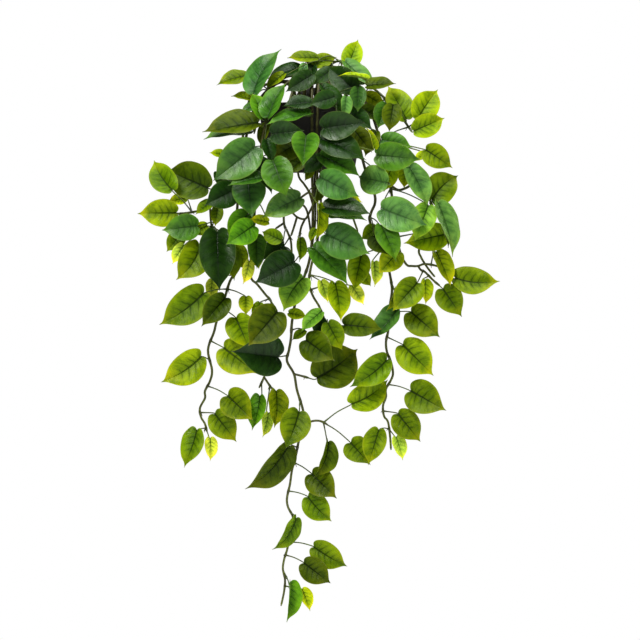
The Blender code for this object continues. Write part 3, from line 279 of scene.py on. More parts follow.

# Leaves that take a shade with painted light or painted shade in it carry that here too; SHADES says which
VINES = [
    vine("vine_left_long", -72, OUTER_RING, [
        [(290, 82, 64), (270, 88, 76), (253, 112, 82), (242, 160, 80), (237, 212, 76), (236, 250, 71),
         (237, 269, 68), (230, 281, 67), (225, 297, 66), (217, 320, 64), (214, 332, 62), (208, 350, 60),
         (212, 370, 58), (210, 381, 58), (205, 391, 57), (205, 398, 56), (200, 408, 55), (201, 417, 54),
         (205, 424, 54), (207, 432, 54)],
    ], [
        olive(204, 293, 160, 323, 35, 82, bow=3), deep_olive(225, 298, 202, 325, 25, 92, fold=34, turn=-1),
        pale_yellow(212, 280, 211, 301, 13, 60), lime(236, 318, 249, 348, 29, 84),
        lime(246, 297, 246, 314, 15, 84), lime(201, 357, 162, 381, 32, 74, bow=3),
        lime(224, 348, 256, 373, 35, 76), olive(228, 396, 252, 419, 31, 70),
        olive(215, 414, 236, 441, 27, 62), olive(197, 430, 182, 465, 22, 60, bow=2),
        pale_yellow(210, 438, 212, 460, 13, 56)
    ]),
    vine("vine_left_inner", -48, OUTER_RING, [
        [(297, 80, 80), (284, 86, 96), (272, 104, 108), (263, 135, 112), (258, 175, 108), (254, 220, 98),
         (251, 255, 90), (251, 277, 84), (257, 284, 82), (265, 294, 80), (272, 304, 78), (275, 330, 72),
         (270, 358, 66), (264, 377, 64), (259, 388, 62)],
        [(264, 377, 64), (268, 383, 63), (272, 389, 62)],
    ], [
        bright(263, 118, 253, 90, 18, 122), mid(268, 117, 283, 79, 21, 124, fold=28),
        deep_olive(277, 312, 249, 345, 37, 96), lime(260, 303, 254, 320, 12, 80),
        bright(260, 396, 249, 428, 18, 72, bow=3, turn=-1), lime(276, 391, 277, 427, 20, 68, bow=1),
        pale_yellow(268, 413, 265, 437, 11, 60), lime(255, 247, 259, 269, 15, 98),
        yellow(268, 222, 250, 218, 11, 122), bright(253, 226, 228, 243, 27, 128),
        pale_yellow(249, 261, 245, 284, 12, 108), mid(256, 236, 258, 268, 20, 104),
        deep_olive(268, 124, 259, 146, 12, 100), deep(266, 140, 273, 162, 14, 124)
    ]),
    vine("vine_centre_long", -8, OUTER_RING, [
        [(312, 84, 92), (312, 95, 108), (312, 130, 113), (312, 168, 113), (313, 205, 108), (312, 240, 103),
         (309, 262, 98), (303, 280, 94), (296, 300, 90), (292, 322, 86), (291, 338, 84), (289, 350, 82),
         (287, 361, 80), (294, 374, 78), (297, 390, 76), (303, 410, 74), (304, 424, 72), (299, 440, 70),
         (296, 455, 68), (292, 470, 66), (290, 484, 64), (287, 498, 62), (288, 507, 60), (293, 518, 58),
         (291, 534, 57), (287, 550, 56), (284, 560, 56), (283, 570, 56), (287, 579, 56)],
        [(304, 424, 72), (313, 421, 74), (320, 421, 74), (327, 424, 73)],
        [(294, 374, 78), (302, 376, 80), (309, 378, 81)],
        [(313, 205, 108), (309, 213, 107), (305, 219, 106), (297, 217, 105), (290, 210, 104)],
        [(305, 219, 106), (301, 228, 105), (299, 240, 104)],
        [(297, 217, 105), (294, 227, 104), (291, 236, 103)],
        [(283, 570, 56), (285, 580, 55), (284, 592, 54), (281, 606, 53)],
        [(312, 130, 113), (314, 150, 107), (315, 190, 104), (315, 225, 101), (309, 262, 98)],
        [(313, 205, 108), (309, 192, 110), (304, 184, 111), (299, 177, 112), (297, 164, 112)],
        [(309, 192, 110), (303, 196, 109), (297, 201, 108)],
        [(312, 240, 103), (307, 211, 107), (299, 202, 109)],
    ], [
        deep(278, 357, 238, 352, 41, 92, fold=26), olive(305, 331, 292, 339, 9, 80),
        lime(289, 313, 307, 316, 11, 84), fresh(303, 278, 284, 311, 29, 108, bow=-3),
        olive(299, 412, 286, 447, 31, 84, bow=1), deep_olive(288, 446, 252, 492, 27, 74, bow=3, turn=-1),
        deep_olive(328, 442, 317, 478, 17, 76, bow=4, fold=30), deep_olive(312, 474, 334, 496, 29, 66),
        olive(308, 497, 331, 521, 26, 70, bow=-1), olive(296, 518, 277, 551, 16, 66, bow=4, turn=-1),
        olive(314, 547, 346, 566, 26, 62, bow=-1), deep_olive(304, 563, 330, 583, 26, 68),
        bright(290, 582, 290, 621, 13, 64, fold=34), yellow(302, 589, 311, 610, 12, 57),
        lime(352, 404, 389, 379, 29, 82, bow=-3, fold=26), olive(351, 443, 368, 462, 26, 68),
        deep_olive(317, 378, 359, 347, 44, 96, bow=-2), deep(294, 262, 257, 282, 37, 114),
        olive(300, 238, 302, 261, 10, 102), olive(311, 166, 306, 181, 9, 118)
    ]),
    vine("vine_centre_front", 8, OUTER_RING, [
        [(318, 84, 94), (318, 96, 109), (317, 130, 115), (317, 168, 115), (318, 205, 111), (318, 235, 106),
         (315, 252, 101), (311, 267, 98), (309, 283, 96), (313, 296, 94), (319, 306, 92), (324, 318, 90),
         (330, 332, 86), (336, 346, 82)],
        [(317, 130, 115), (320, 152, 108), (321, 190, 106), (320, 222, 103), (315, 252, 101)],
    ], [
        blue(326, 234, 369, 254, 36, 138), mid(313, 248, 350, 281, 26, 124),
        deep(325, 208, 371, 211, 22, 132), lime(319, 204, 321, 240, 11, 126),
        olive(316, 229, 309, 241, 8, 120), pale_yellow(321, 281, 329, 302, 13, 96),
        lime(335, 283, 343, 320, 22, 106), pale_yellow(352, 286, 364, 304, 14, 98),
        deep_olive(306, 340, 332, 359, 32, 92), olive(328, 323, 342, 350, 22, 102),
        deep_olive(344, 325, 382, 328, 24, 100), fresh(321, 312, 300, 329, 15, 100),
        deep_olive(321, 170, 315, 207, 10, 120, fold=30), deep(321, 318, 317, 337, 15, 86)
    ]),
    vine("vine_right_long", 40, OUTER_RING, [
        [(327, 82, 82), (342, 90, 100), (351, 106, 110), (358, 140, 114), (366, 172, 108), (374, 192, 101),
         (375, 203, 98), (371, 213, 96), (370, 222, 94), (378, 240, 90), (386, 258, 86), (390, 275, 82),
         (392, 290, 80), (390, 305, 78), (389, 322, 76), (388, 332, 75), (386, 342, 73), (387, 352, 71),
         (391, 362, 69), (393, 373, 68), (391, 380, 67), (386, 389, 66), (386, 397, 65), (383, 406, 63),
         (384, 416, 62), (388, 422, 61), (390, 436, 60), (391, 450, 60)],
    ], [
        olive(411, 312, 439, 336, 32, 80), lime(403, 345, 433, 375, 34, 78),
        olive(411, 391, 443, 409, 34, 72), olive(398, 414, 420, 441, 28, 68),
        pale_yellow(396, 437, 404, 459, 14, 60), olive(379, 430, 368, 464, 23, 74, turn=-1),
        olive(387, 360, 350, 385, 27, 84, bow=3, fold=26), blue(396, 310, 368, 336, 20, 86, bow=4, fold=26),
        lime(395, 288, 390, 312, 7, 92), mid(381, 225, 398, 260, 23, 116),
        pale_yellow(374, 262, 377, 286, 12, 100), olive(361, 256, 354, 290, 23, 108, fold=34),
        lime(398, 252, 379, 273, 24, 104), olive(376, 228, 362, 239, 16, 104),
        deep_olive(374, 236, 388, 254, 22, 106), lime(360, 272, 371, 286, 13, 96)
    ]),
    vine("vine_right_outer", 62, OUTER_RING, [
        [(336, 84, 74), (354, 92, 88), (369, 108, 96), (380, 140, 98), (388, 172, 94), (393, 205, 90),
         (395, 230, 86), (398, 244, 83), (402, 257, 80), (407, 265, 78), (412, 266, 77), (418, 266, 76),
         (425, 264, 75), (437, 266, 74), (447, 270, 73), (453, 274, 72)],
        [(418, 266, 76), (421, 270, 76), (425, 272, 75), (433, 280, 74), (440, 286, 73)],
    ], [
        olive(455, 278, 499, 279, 27, 82, bow=-4), olive(443, 289, 461, 315, 27, 80),
        yellow(425, 280, 427, 304, 13, 76), olive(417, 283, 393, 310, 28, 96, fold=26),
        lime(446, 234, 405, 243, 28, 88), lime(436, 252, 453, 285, 18, 88),
        fresh(428, 206, 415, 241, 25, 112), pale_blue(382, 209, 426, 225, 35, 126),
        mid(377, 155, 419, 159, 29, 132)
    ]),
    vine("vine_right_mid", 86, OUTER_RING, [
        [(338, 83, 56), (356, 84, 62), (370, 99, 68), (377, 130, 71), (381, 160, 72), (386, 180, 74),
         (393, 187, 75), (399, 190, 75), (406, 188, 76), (413, 185, 77), (421, 191, 77), (430, 200, 78),
         (433, 214, 78), (425, 236, 76), (419, 250, 74), (421, 257, 73), (425, 264, 71), (430, 271, 70),
         (435, 277, 70)],
    ], [
        olive(426, 150, 452, 167, 24, 98), yellow(428, 153, 413, 160, 9, 92),
        pale_blue(409, 167, 431, 204, 23, 106), olive(432, 200, 460, 174, 31, 98, bow=3),
        lime(406, 167, 404, 188, 15, 84), pale_blue(438, 203, 459, 253, 20, 102),
        deep_olive(440, 214, 452, 246, 12, 92), lime(392, 165, 384, 192, 18, 90)
    ]),
    vine("vine_top_right", 70, INNER_RING, [
        [(324, 82, 58), (340, 76, 64), (360, 80, 72), (378, 92, 78), (394, 108, 80), (405, 122, 80),
         (412, 132, 80)],
    ], [
        lime(418, 119, 439, 88, 28, 84, bow=1), lime(406, 119, 388, 83, 26, 82),
        deep_olive(367, 86, 395, 82, 14, 76), lime(366, 95, 385, 106, 15, 86),
        lime(414, 131, 446, 117, 24, 90), deep_olive(393, 105, 389, 131, 20, 96),
        mid(382, 140, 412, 146, 19, 118), mid(386, 104, 378, 128, 20, 92),
        deep_olive(361, 109, 384, 119, 15, 90)
    ]),
    vine("vine_top", 20, INNER_RING, [
        [(318, 82, 46), (326, 70, 48), (335, 62, 50), (346, 61, 52)],
        [(326, 70, 48), (316, 64, 50), (306, 62, 52)],
    ], [
        olive(313, 66, 337, 54, 16, 52), lime(348, 66, 359, 38, 21, 54),
        pale_blue(345, 62, 378, 87, 16, 64, bow=-2), lime(367, 79, 338, 72, 6, 112),
        pale_blue(357, 79, 368, 83, 9, 66), olive(316, 58, 288, 56, 13, 54), deep(300, 68, 267, 76, 15, 62),
        deep(355, 91, 326, 64, 25, 108, fold=24), pale_blue(305, 64, 300, 76, 9, 70),
        olive(284, 74, 265, 88, 11, 72), deep(332, 70, 312, 84, 15, 68),
        deep_olive(322, 70, 345, 82, 14, 66)
    ]),
    vine("vine_top_left", -66, INNER_RING, [
        [(302, 82, 56), (290, 76, 60), (276, 84, 68), (264, 98, 74), (258, 116, 78), (254, 134, 80)],
    ], [
        olive(246, 76, 217, 81, 15, 66), blue(254, 93, 279, 46, 25, 78, bow=5),
        lime(253, 100, 231, 93, 10, 70), blue(259, 104, 240, 111, 10, 76),
        deep_olive(258, 123, 203, 129, 24, 84), mid(250, 131, 204, 134, 15, 90),
        deep(312, 75, 286, 91, 20, 84), deep(313, 66, 302, 90, 15, 62)
    ]),
    vine("vine_crown_left", -28, OUTER_RING, [
        [(305, 80, 86), (296, 86, 102), (289, 104, 114), (285, 135, 119), (283, 165, 118), (284, 200, 108),
         (284, 223, 101), (288, 233, 97), (291, 242, 94), (292, 262, 90)],
        [(284, 223, 101), (275, 229, 98)],
    ], [
        blue(255, 147, 214, 180, 38, 134), lime(225, 155, 210, 152, 9, 112),
        deep(272, 134, 303, 130, 24, 142, fold=26), mid(310, 114, 266, 121, 13, 130),
        mid(273, 161, 286, 196, 32, 134), pale_blue(300, 198, 262, 215, 26, 130),
        mid(306, 136, 303, 164, 28, 150, fold=28), blue(248, 182, 252, 215, 34, 124),
        mid(262, 178, 228, 183, 14, 130), olive(281, 240, 261, 231, 16, 112),
        deep(284, 246, 264, 258, 28, 110), deep(311, 103, 283, 103, 14, 124),
        deep(258, 160, 274, 192, 20, 124), deep_olive(300, 142, 272, 158, 24, 122),
        deep_olive(306, 157, 286, 173, 15, 126)
    ]),
    vine("vine_crown_right", 24, OUTER_RING, [
        [(322, 80, 88), (331, 86, 104), (336, 106, 117), (339, 135, 121), (341, 165, 119), (345, 195, 113),
         (352, 215, 107), (358, 232, 102)],
    ], [
        deep(322, 86, 345, 113, 15, 118), blue(358, 88, 358, 112, 17, 108, fold=30),
        pale_blue(346, 97, 345, 119, 12, 120), deep(323, 128, 363, 122, 29, 140, fold=28),
        deep(321, 139, 366, 156, 28, 146), mid(321, 156, 361, 172, 22, 140),
        blue(321, 178, 358, 196, 30, 150), pale_blue(387, 183, 355, 176, 30, 134),
        lime(374, 148, 369, 125, 7, 134), deep_olive(376, 132, 364, 156, 16, 116),
        yellow(338, 196, 362, 200, 14, 130), deep(350, 112, 372, 128, 20, 118),
        deep_olive(354, 130, 372, 152, 20, 118), mid(328, 214, 366, 215, 15, 124),
        deep(323, 157, 303, 173, 16, 128), deep(334, 97, 310, 104, 19, 122)
    ]),
    vine("vine_left_outer", -94, OUTER_RING, [
        [(288, 84, 50), (268, 84, 54), (252, 94, 58), (245, 122, 60), (240, 158, 60), (233, 182, 60),
         (224, 200, 60), (210, 207, 60), (198, 211, 60), (186, 213, 60), (175, 214, 60)],
        [(210, 207, 60), (211, 222, 60), (213, 231, 60)],
    ], [
        lime(176, 213, 139, 213, 28, 74), olive(172, 190, 152, 158, 26, 86, bow=2),
        deep_olive(208, 188, 164, 169, 38, 76), yellow(186, 198, 168, 201, 12, 68),
        mid(197, 226, 163, 230, 27, 88), lime(207, 226, 193, 233, 14, 74),
        pale_yellow(184, 245, 172, 263, 14, 76), olive(181, 234, 167, 251, 18, 70),
        olive(200, 246, 176, 279, 31, 82, bow=4), deep(217, 232, 219, 290, 37, 104, fold=30),
        olive(218, 207, 215, 226, 13, 72), olive(212, 202, 195, 213, 12, 80),
        deep(234, 190, 206, 204, 28, 96), bright(248, 214, 229, 241, 27, 112),
        olive(226, 244, 236, 279, 22, 94), deep(218, 172, 236, 196, 18, 84),
        lime(236, 246, 245, 270, 18, 90)
    ]),
]


def place(x, y, depth):
    """The point seen at a place in the picture, a number of millimetres in front of the wall."""
    shrink = PIXEL * (1 - depth * MM / VIEW_DISTANCE)
    return Vector((EYE_X + (x - PICTURE_MIDDLE[0]) * shrink, -depth * MM,
                   EYE_Z + (PICTURE_MIDDLE[1] - y) * shrink))


def smooth(points, parts):
    """Points on a smooth curve through the given ones, so many to each stretch."""
    ends = [points[0] * 2 - points[1]] + list(points) + [points[-1] * 2 - points[-2]]
    curve = []
    for before, start, end, after in zip(ends, ends[1:], ends[2:], ends[3:]):
        for part in range(parts):
            t = part / parts
            curve.append(0.5 * (2 * start + t * (end - before)
                                + t * t * (2 * before - 5 * start + 4 * end - after)
                                + t * t * t * (3 * start - before - 3 * end + after)))
    return curve + [points[-1].copy()]


def taper(count, first, final):
    """Radii that run evenly from the first to the final one."""
    return [first + (final - first) * index / (count - 1) for index in range(count)]


def stem_routes(plant):
    """The listed points of a vine's stems in space: the main stem from its root up, then the branches."""
    x, y = plant.ring * math.sin(plant.azimuth), -HUB_DEPTH - plant.ring * math.cos(plant.azimuth)
    root = [Vector((x, y, SOIL_TOP_Z + rise)) for rise in (-ROOT_DEPTH, STEM_FOOT)]
    routes = [[place(*point) for point in stem] for stem in plant.stems]
    return [root + routes[0]] + routes[1:]


def blade_of(plan, forward):
    """The leaf's blade in space, with its stalk end so many millimetres further from the wall."""
    depth = plan.depth + forward
    base = place(plan.x, plan.y, depth)
    flat_tip = place(plan.tip_x, plan.tip_y, depth)
    run = (flat_tip - base).length
    shown_width = plan.width * PIXEL * (1 - depth * MM / VIEW_DISTANCE)
    natural = BLADE_ASPECT * math.cos(plan.fold)
    lean = max(LEAST_LEAN, math.acos(min(1, run * natural / shown_width)))
    lean = min(lean, MOST_LEAN)
    length = run / math.cos(lean)
    shown = min(1, shown_width / (natural * length))
    slimness = max(shown, NARROWEST)
    roll = math.acos(shown / slimness)
    if plan.tip_y < plan.y - RISING:
        lean = -lean
    tip = place(plan.tip_x, plan.tip_y, depth + run * math.tan(lean) / MM)
    along = (tip - base).normalized()
    toward = Vector((0, -1, 0))
    face = (toward - toward.dot(along) * along).normalized()
    rolls = [Matrix.Rotation(sign * roll, 3, along) @ face for sign in (-1, 1)]
    face = max(rolls, key=(LIGHT_SIDE * plan.turn).dot)
    rng = random.Random(plan.x * 1000 + plan.y)
    return Blade(base, along, face.cross(along), face, length, slimness * BLADE_ASPECT * length / 2,
                 plan.fold, plan.bow * PIXEL, rng.random() * 2 * math.pi)


def blade_point(blade, along, across, grow=0.0):
    """A point of the blade's middle surface: folded along a bowed midrib, drooping, with waved edges."""
    out = across * (blade.half_width + grow)
    bend = 4 * blade.bow * along * (1 - along)
    rise = abs(out) * math.sin(blade.fold)
    rise -= blade.length * (LOBE_DROOP if along < 0 else TIP_DROOP) * along * along
    rise += blade.length * EDGE_WAVE * across * abs(across) * math.sin(EDGE_WAVES * along + blade.phase)
    return (blade.base + blade.along * (along * blade.length)
            + blade.side * (out * math.cos(blade.fold) + bend) + blade.face * rise)


def blade_template(outline, midrib):
    """The along and across of half a sheet's points and its triangles, walked from stalk to tip.

    Point 0 is the corner at the stalk, then come the midrib's points, the tip and the outline's points.
    """
    inner = [0.0] + midrib + [1.0]
    outer = [along for along, _ in outline] + [1.0]
    edge = [len(inner) + number for number in range(len(outline))] + [len(inner) - 1]
    triangles = []
    middle, rim = 0, 0
    while rim < len(outer) - 1:
        if middle < len(inner) - 2 and inner[middle + 1] < outer[rim + 1]:
            triangles.append((middle, edge[rim], middle + 1))
            middle += 1
        else:
            triangles.append((middle, edge[rim], edge[rim + 1]))
            rim += 1
    return [(along, 0.0) for along in inner[1:]] + outline, triangles, len(midrib)


LARGE_TEMPLATE = blade_template(LARGE_OUTLINE, LARGE_MIDRIB)
SMALL_TEMPLATE = blade_template(SMALL_OUTLINE, SMALL_MIDRIB)


def blade_solid(blade, grow=0.0):
    """The solid leaf's blade, grown by so much: two sheets, split alike, their rim and the stalk's end."""
    places, half, midrib = LARGE_TEMPLATE if blade.length > SMALL_LEAF else SMALL_TEMPLATE
    outline = len(places) - midrib - 1
    corner = (STALK_RADIUS + grow) / blade.half_width
    lift = blade.face * (BLADE_THICKNESS / 2 + grow)
    left = [blade_point(blade, along, across, grow) for along, across in places]
    right = [blade_point(blade, along, -across, grow) for along, across in places[midrib + 1:]]
    top = [blade_point(blade, 0, corner), blade_point(blade, 0, -corner)] + left + right
    bottom = [blade.base - blade.face * (STALK_RADIUS + grow)] + left + right
    points = [point + lift for point in top] + [bottom[0]] + [point - lift for point in bottom[1:]]

    def left_of(index):
        return index if index == 0 else index + 1

    def right_of(index):
        return index + 1 + outline if index > midrib + 1 else index + 1

    def below(index):
        return len(top) if index < 2 else len(top) + index - 1

    sheet = [tuple(map(left_of, triangle)) for triangle in half]
    sheet += [tuple(map(right_of, reversed(triangle))) for triangle in half]
    faces = sheet + [(0, 2, 1)] + [tuple(map(below, reversed(triangle))) for triangle in sheet]
    rim = list(range(midrib + 2, midrib + 2 + outline))
    loop = [0] + [left_of(index) for index in rim] + [midrib + 2]
    loop += [right_of(index) for index in reversed(rim)] + [1]
    for here, following in zip(loop, loop[1:]):
        faces.append((here, below(here), following))
        if below(here) != below(following):
            faces.append((following, below(here), below(following)))
    return points, faces + [(0, 1, len(top))]


def round_rings(line, radii, sides):
    """A ring of points round each point of a route, carried along it without a twist."""
    spin = [(math.cos(2 * math.pi * side / sides), math.sin(2 * math.pi * side / sides))
            for side in range(sides)]
    ahead = (line[1] - line[0]).normalized()
    across = (line[1] - line[0]).orthogonal()
    across = (across - across.dot(ahead) * ahead).normalized()
    rings = []
    for index, point in enumerate(line):
        turned = (line[min(index + 1, len(line) - 1)] - line[max(index - 1, 0)]).normalized()
        across = ahead.rotation_difference(turned) @ across
        ahead = turned
        other = ahead.cross(across)
        rings.append([point + radii[index] * (a * across + b * other) for a, b in spin])
    return rings


def skin(rings):
    """Points and faces of a closed solid through rings of equally many points."""
    count = len(rings[0])
    points = [point for ring in rings for point in ring]
    last = len(points) - count
    faces = [(0, *range(count - 1, 0, -1)), tuple(range(last, last + count))]
    for first in range(0, last, count):
        for index in range(count):
            a, b = first + index, first + (index + 1) % count
            faces.append((a, b, b + count, a + count))
    return points, faces


def tube_solid(line, radii, sides):
    """Points and triangles of a closed tube along a route."""
    points, faces = skin(round_rings(line, radii, sides))
    return points, [(face[0], *pair) for face in faces for pair in zip(face[1:], face[2:])]


def stalk_line(node, blade, bend):
    """The leaf stalk's route from the blade back to its node: a knee at the blade, then an arch."""
    knee = blade.base - blade.along * KNEE_BACK - blade.face * KNEE_DROP
    reach = (knee - node).length
    arch = (node + knee) / 2 + Vector((0, 0, STALK_ARCH * reach)) + Vector(bend) * MM
    middle = [(node + 2 * arch + knee) / 4] if reach > SHORT_STALK or any(bend) else []
    return [blade.base, knee] + middle + [node]


def stalk_solid(line, grow=0.0):
    """The solid leaf stalk, grown by so much."""
    return tube_solid(line, [STALK_RADIUS + grow] * len(line), SOLID_STALK_SIDES)


def stem_radii(number, count):
    """The radii of a vine's main stem, its number 0, or of one of its branches."""
    return taper(count, STEM_RADIUS if number == 0 else BRANCH_RADIUS, STEM_END_RADIUS)


def stem_solids(plant):
    """The solid main stem and branches of a vine."""
    return [tube_solid(line, stem_radii(number, len(line)), SOLID_STEM_SIDES)
            for number, line in enumerate(stem_routes(plant))]


def nodes_near(plant, blade):
    """The places between a vine's listed stem points that its leaf can grow from, the likeliest first."""
    routes = stem_routes(plant)
    routes[0] = routes[0][2:]
    nodes = [(start + end) / 2 for route in routes for start, end in zip(route, route[1:])]

    def cost(node):
        return (node - blade.base).length + LOW_NODE_COST * max(0, blade.base.z - node.z)

    return sorted(nodes, key=cost)[:STALK_CHOICES]


def corners(points):
    """The lowest and highest corner of the box round some points."""
    low = [min(point[axis] for point in points) for axis in range(3)]
    high = [max(point[axis] for point in points) for axis in range(3)]
    return low, high


def obstacle(owner, kind, points, faces):
    """A solid that the leaves of other stems keep clear of."""
    return Obstacle(owner, kind, BVHTree.FromPolygons(points, faces), *corners(points))


def crosses(solid, obstacles):
    """Whether a solid cuts any of the obstacles."""
    low, high = corners(solid[0])
    tree = None
    for rival in obstacles:
        if any(low[axis] > rival.high[axis] or high[axis] < rival.low[axis] for axis in range(3)):
            continue
        tree = tree or BVHTree.FromPolygons(*solid)
        if tree.overlap(rival.tree):
            return True
    return False


def find_room(plant, plan, obstacles):
    """The leaf's blade and its stalk's route at the first place forward that is clear of other solids."""
    strangers = [item for item in obstacles if item.owner != plant.name]
    # First a place that is clear of every solid, then one that is clear of the other vines
    for blade_rivals, stalk_rivals in (
        (obstacles, strangers + [item for item in obstacles if item.kind == "blade"]),
        (strangers, strangers),
    ):
        for forward in FORWARD_STEPS:
            blade = blade_of(plan, forward)
            grown = blade_solid(blade, CLEARANCE)
            if max(point.y for point in grown[0]) > -WALL_AIR or crosses(grown, blade_rivals):
                continue
            own = obstacle(plant.name, "blade", *blade_solid(blade, -CLEARANCE / 2))
            for node in nodes_near(plant, blade):
                for bend in STALK_BENDS:
                    line = stalk_line(node, blade, bend)
                    if crosses(stalk_solid(line, CLEARANCE), stalk_rivals):
                        continue
                    if not crosses(stalk_solid(line[1:], CLEARANCE), [own]):
                        return blade, line
    raise RuntimeError(f"{plant.name} has no room for the leaf at {plan.x}, {plan.y}")


def grow_leaves(plants, obstacles):
    """Each vine's blades with their stalks' routes, from the wall outwards."""
    for plant in plants:
        obstacles += [obstacle(plant.name, "stem", *solid) for solid in stem_solids(plant)]
    queue = sorted(((plan.depth, number, plant, plan) for number, plant in enumerate(plants)
                    for plan in plant.leaves), key=lambda item: item[:2])
    grown = {plant.name: [] for plant in plants}
    for _, _, plant, plan in queue:
        blade, line = find_room(plant, plan, obstacles)
        grown[plant.name].append((plan, blade, line))
        obstacles.append(obstacle(plant.name, "blade", *blade_solid(blade)))
        obstacles.append(obstacle(plant.name, "stalk", *stalk_solid(line)))
    return grown


def holder_obstacle(node):
    """An obstacle of the pot's or the soil's own solid."""
    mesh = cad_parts[node].data
    points = [vertex.co.copy() for vertex in mesh.vertices]
    return obstacle(node, "holder", points, [tuple(polygon.vertices) for polygon in mesh.polygons])


def add_object(name, data):
    """An object in the scene, of a mesh, a light or a camera."""
    made = bpy.data.objects.new(name, data)
    bpy.context.scene.collection.objects.link(made)
    return made


def solid_object(name, points, faces):
    """A mesh object of a closed solid, with its faces pointing out."""
    mesh = bpy.data.meshes.new(name)
    mesh.from_pydata([tuple(point) for point in points], [], faces)
    shape = bmesh.new()
    shape.from_mesh(mesh)
    bmesh.ops.recalc_face_normals(shape, faces=shape.faces)
    shape.to_mesh(mesh)
    shape.free()
    return add_object(name, mesh)


def loft(name, rings):
    """A closed solid through rings of equally many points."""
    return solid_object(name, *skin(rings))


def reshape(piece, kind, **settings):
    """Changes the piece's mesh by a modifier with these settings."""
    modifier = piece.modifiers.new("reshape", kind)
    for key, value in settings.items():
        setattr(modifier, key, value)
    bpy.context.view_layer.update()
    graph = bpy.context.evaluated_depsgraph_get()
    result = bpy.data.meshes.new_from_object(piece.evaluated_get(graph))
    piece.modifiers.clear()
    piece.data = result


def boolean(body, tools, operation):
    """Joins the tools to the body, or cuts them from it, and removes them."""
    group = bpy.data.collections.new(body.name + "_tools")
    bpy.context.scene.collection.children.link(group)
    for tool in tools:
        bpy.context.scene.collection.objects.unlink(tool)
        group.objects.link(tool)
    reshape(body, "BOOLEAN", operation=operation, operand_type="COLLECTION", collection=group,
            solver="EXACT")
    for tool in tools:
        bpy.data.objects.remove(tool)
    bpy.data.collections.remove(group)


def smooth_shading(piece, sharp_degrees):
    """Shades the piece smooth, except over its sharper edges."""
    piece.data.shade_smooth()
    piece.data.set_sharp_from_angle(angle=math.radians(sharp_degrees))


def pot_ring(z, outset):
    """One level of the pot: a flat back on the wall and a rounded front, moved out by the outset."""
    share = (z - POT_FLOOR_Z) / (POT_RIM_Z - POT_FLOOR_Z)
    scale = POT_TAPER + (1 - POT_TAPER) * share
    half, depth = POT_WIDTH / 2 * scale + outset, POT_DEPTH * scale + outset
    ring = []
    for step in range(POT_STEPS + 1):
        angle = math.pi * step / POT_STEPS
        x = half * math.copysign(abs(math.cos(angle)) ** POT_SQUARENESS, math.cos(angle))
        y = -depth * math.sin(angle) ** POT_SQUARENESS
        ring.append(Vector((x, min(y, 0), z)))
    return ring


def inner_ring(z, gap):
    """One level of the pot's inside, or of what fills it with a gap to the walls."""
    return [Vector((point.x, min(point.y, -(HANGER_THICKNESS + gap)), z))
            for point in pot_ring(z, -(POT_WALL + gap))]


def cutter(middle, axis, radius, length, sides):
    """A cylinder about a point, to cut a round hole with."""
    reach = Vector(axis) * length / 2
    return solid_object("hole", *tube_solid([middle - reach, middle + reach], [radius] * 2, sides))


def make_hanger():
    """The tab that rises behind the rim, with rounded upper corners."""
    half = HANGER_WIDTH / 2
    foot = POT_RIM_Z - HANGER_OVERLAP
    outline = [(-half, foot), (half, foot)]
    for side, first in ((1, 0), (-1, math.pi / 2)):
        for step in range(CORNER_STEPS + 1):
            angle = first + math.pi / 2 * step / CORNER_STEPS
            outline.append((side * (half - HANGER_CORNER) + HANGER_CORNER * math.cos(angle),
                            HANGER_TOP_Z - HANGER_CORNER + HANGER_CORNER * math.sin(angle)))
    return loft("hanger", [[Vector((x, y, z)) for x, z in outline] for y in (0, -HANGER_THICKNESS)])


def make_fine_pot(finish):
    """The wall pot: hollow, with a thicker rim, a hanging tab with a screw hole, and drain holes."""
    rim_foot = POT_RIM_Z - RIM_HEIGHT
    levels = [(POT_FLOOR_Z, -FOOT_BEVEL), (POT_FLOOR_Z + FOOT_BEVEL, 0), (rim_foot, 0),
              (rim_foot + RIM_BEVEL, RIM_STEP), (POT_RIM_Z - RIM_BEVEL, RIM_STEP),
              (POT_RIM_Z, RIM_STEP - RIM_BEVEL)]
    pot = loft("fine_pot", [pot_ring(z, outset) for z, outset in levels])
    boolean(pot, [make_hanger()], "UNION")
    floor, over = POT_FLOOR_Z + POT_WALL, HANGER_TOP_Z + POT_WALL
    cuts = [loft("hollow", [inner_ring(z, 0) for z in (floor, over)]),
            cutter(Vector((0, 0, SCREW_HOLE_Z)), (0, 1, 0), SCREW_HOLE_RADIUS, 4 * HANGER_THICKNESS,
                   SCREW_HOLE_SIDES)]
    for x in (-DRAIN_HOLE_SPACING, 0, DRAIN_HOLE_SPACING):
        drain = Vector((x, -DRAIN_HOLE_SHARE * POT_DEPTH, POT_FLOOR_Z))
        cuts.append(cutter(drain, (0, 0, 1), DRAIN_HOLE_RADIUS, 4 * POT_WALL, DRAIN_HOLE_SIDES))
    boolean(pot, cuts, "DIFFERENCE")
    pot.data.materials.clear()
    pot.data.materials.append(finish)
    reshape(pot, "BEVEL", width=EDGE_BEVEL, segments=2, limit_method="ANGLE",
            angle_limit=math.radians(EDGE_DEGREES))
    smooth_shading(pot, EDGE_DEGREES)
    return pot


def soil_height(x, y):
    """The soil's uneven, crumbly top."""
    broad = math.sin(x * SOIL_BROAD_WAVES[0] + 1) * math.cos(y * SOIL_BROAD_WAVES[1])
    fine = math.sin(x * SOIL_FINE_WAVES[0] - y * SOIL_FINE_WAVES[1])
    crumbs = noise.fractal(Vector((x, y, 0)) * CRUMBS_PER_METRE, 1.0, 2.0, 4)
    return SOIL_TOP_Z + SOIL_WAVE * (broad + SOIL_FINE_SHARE * fine) + SOIL_CRUMB * crumbs


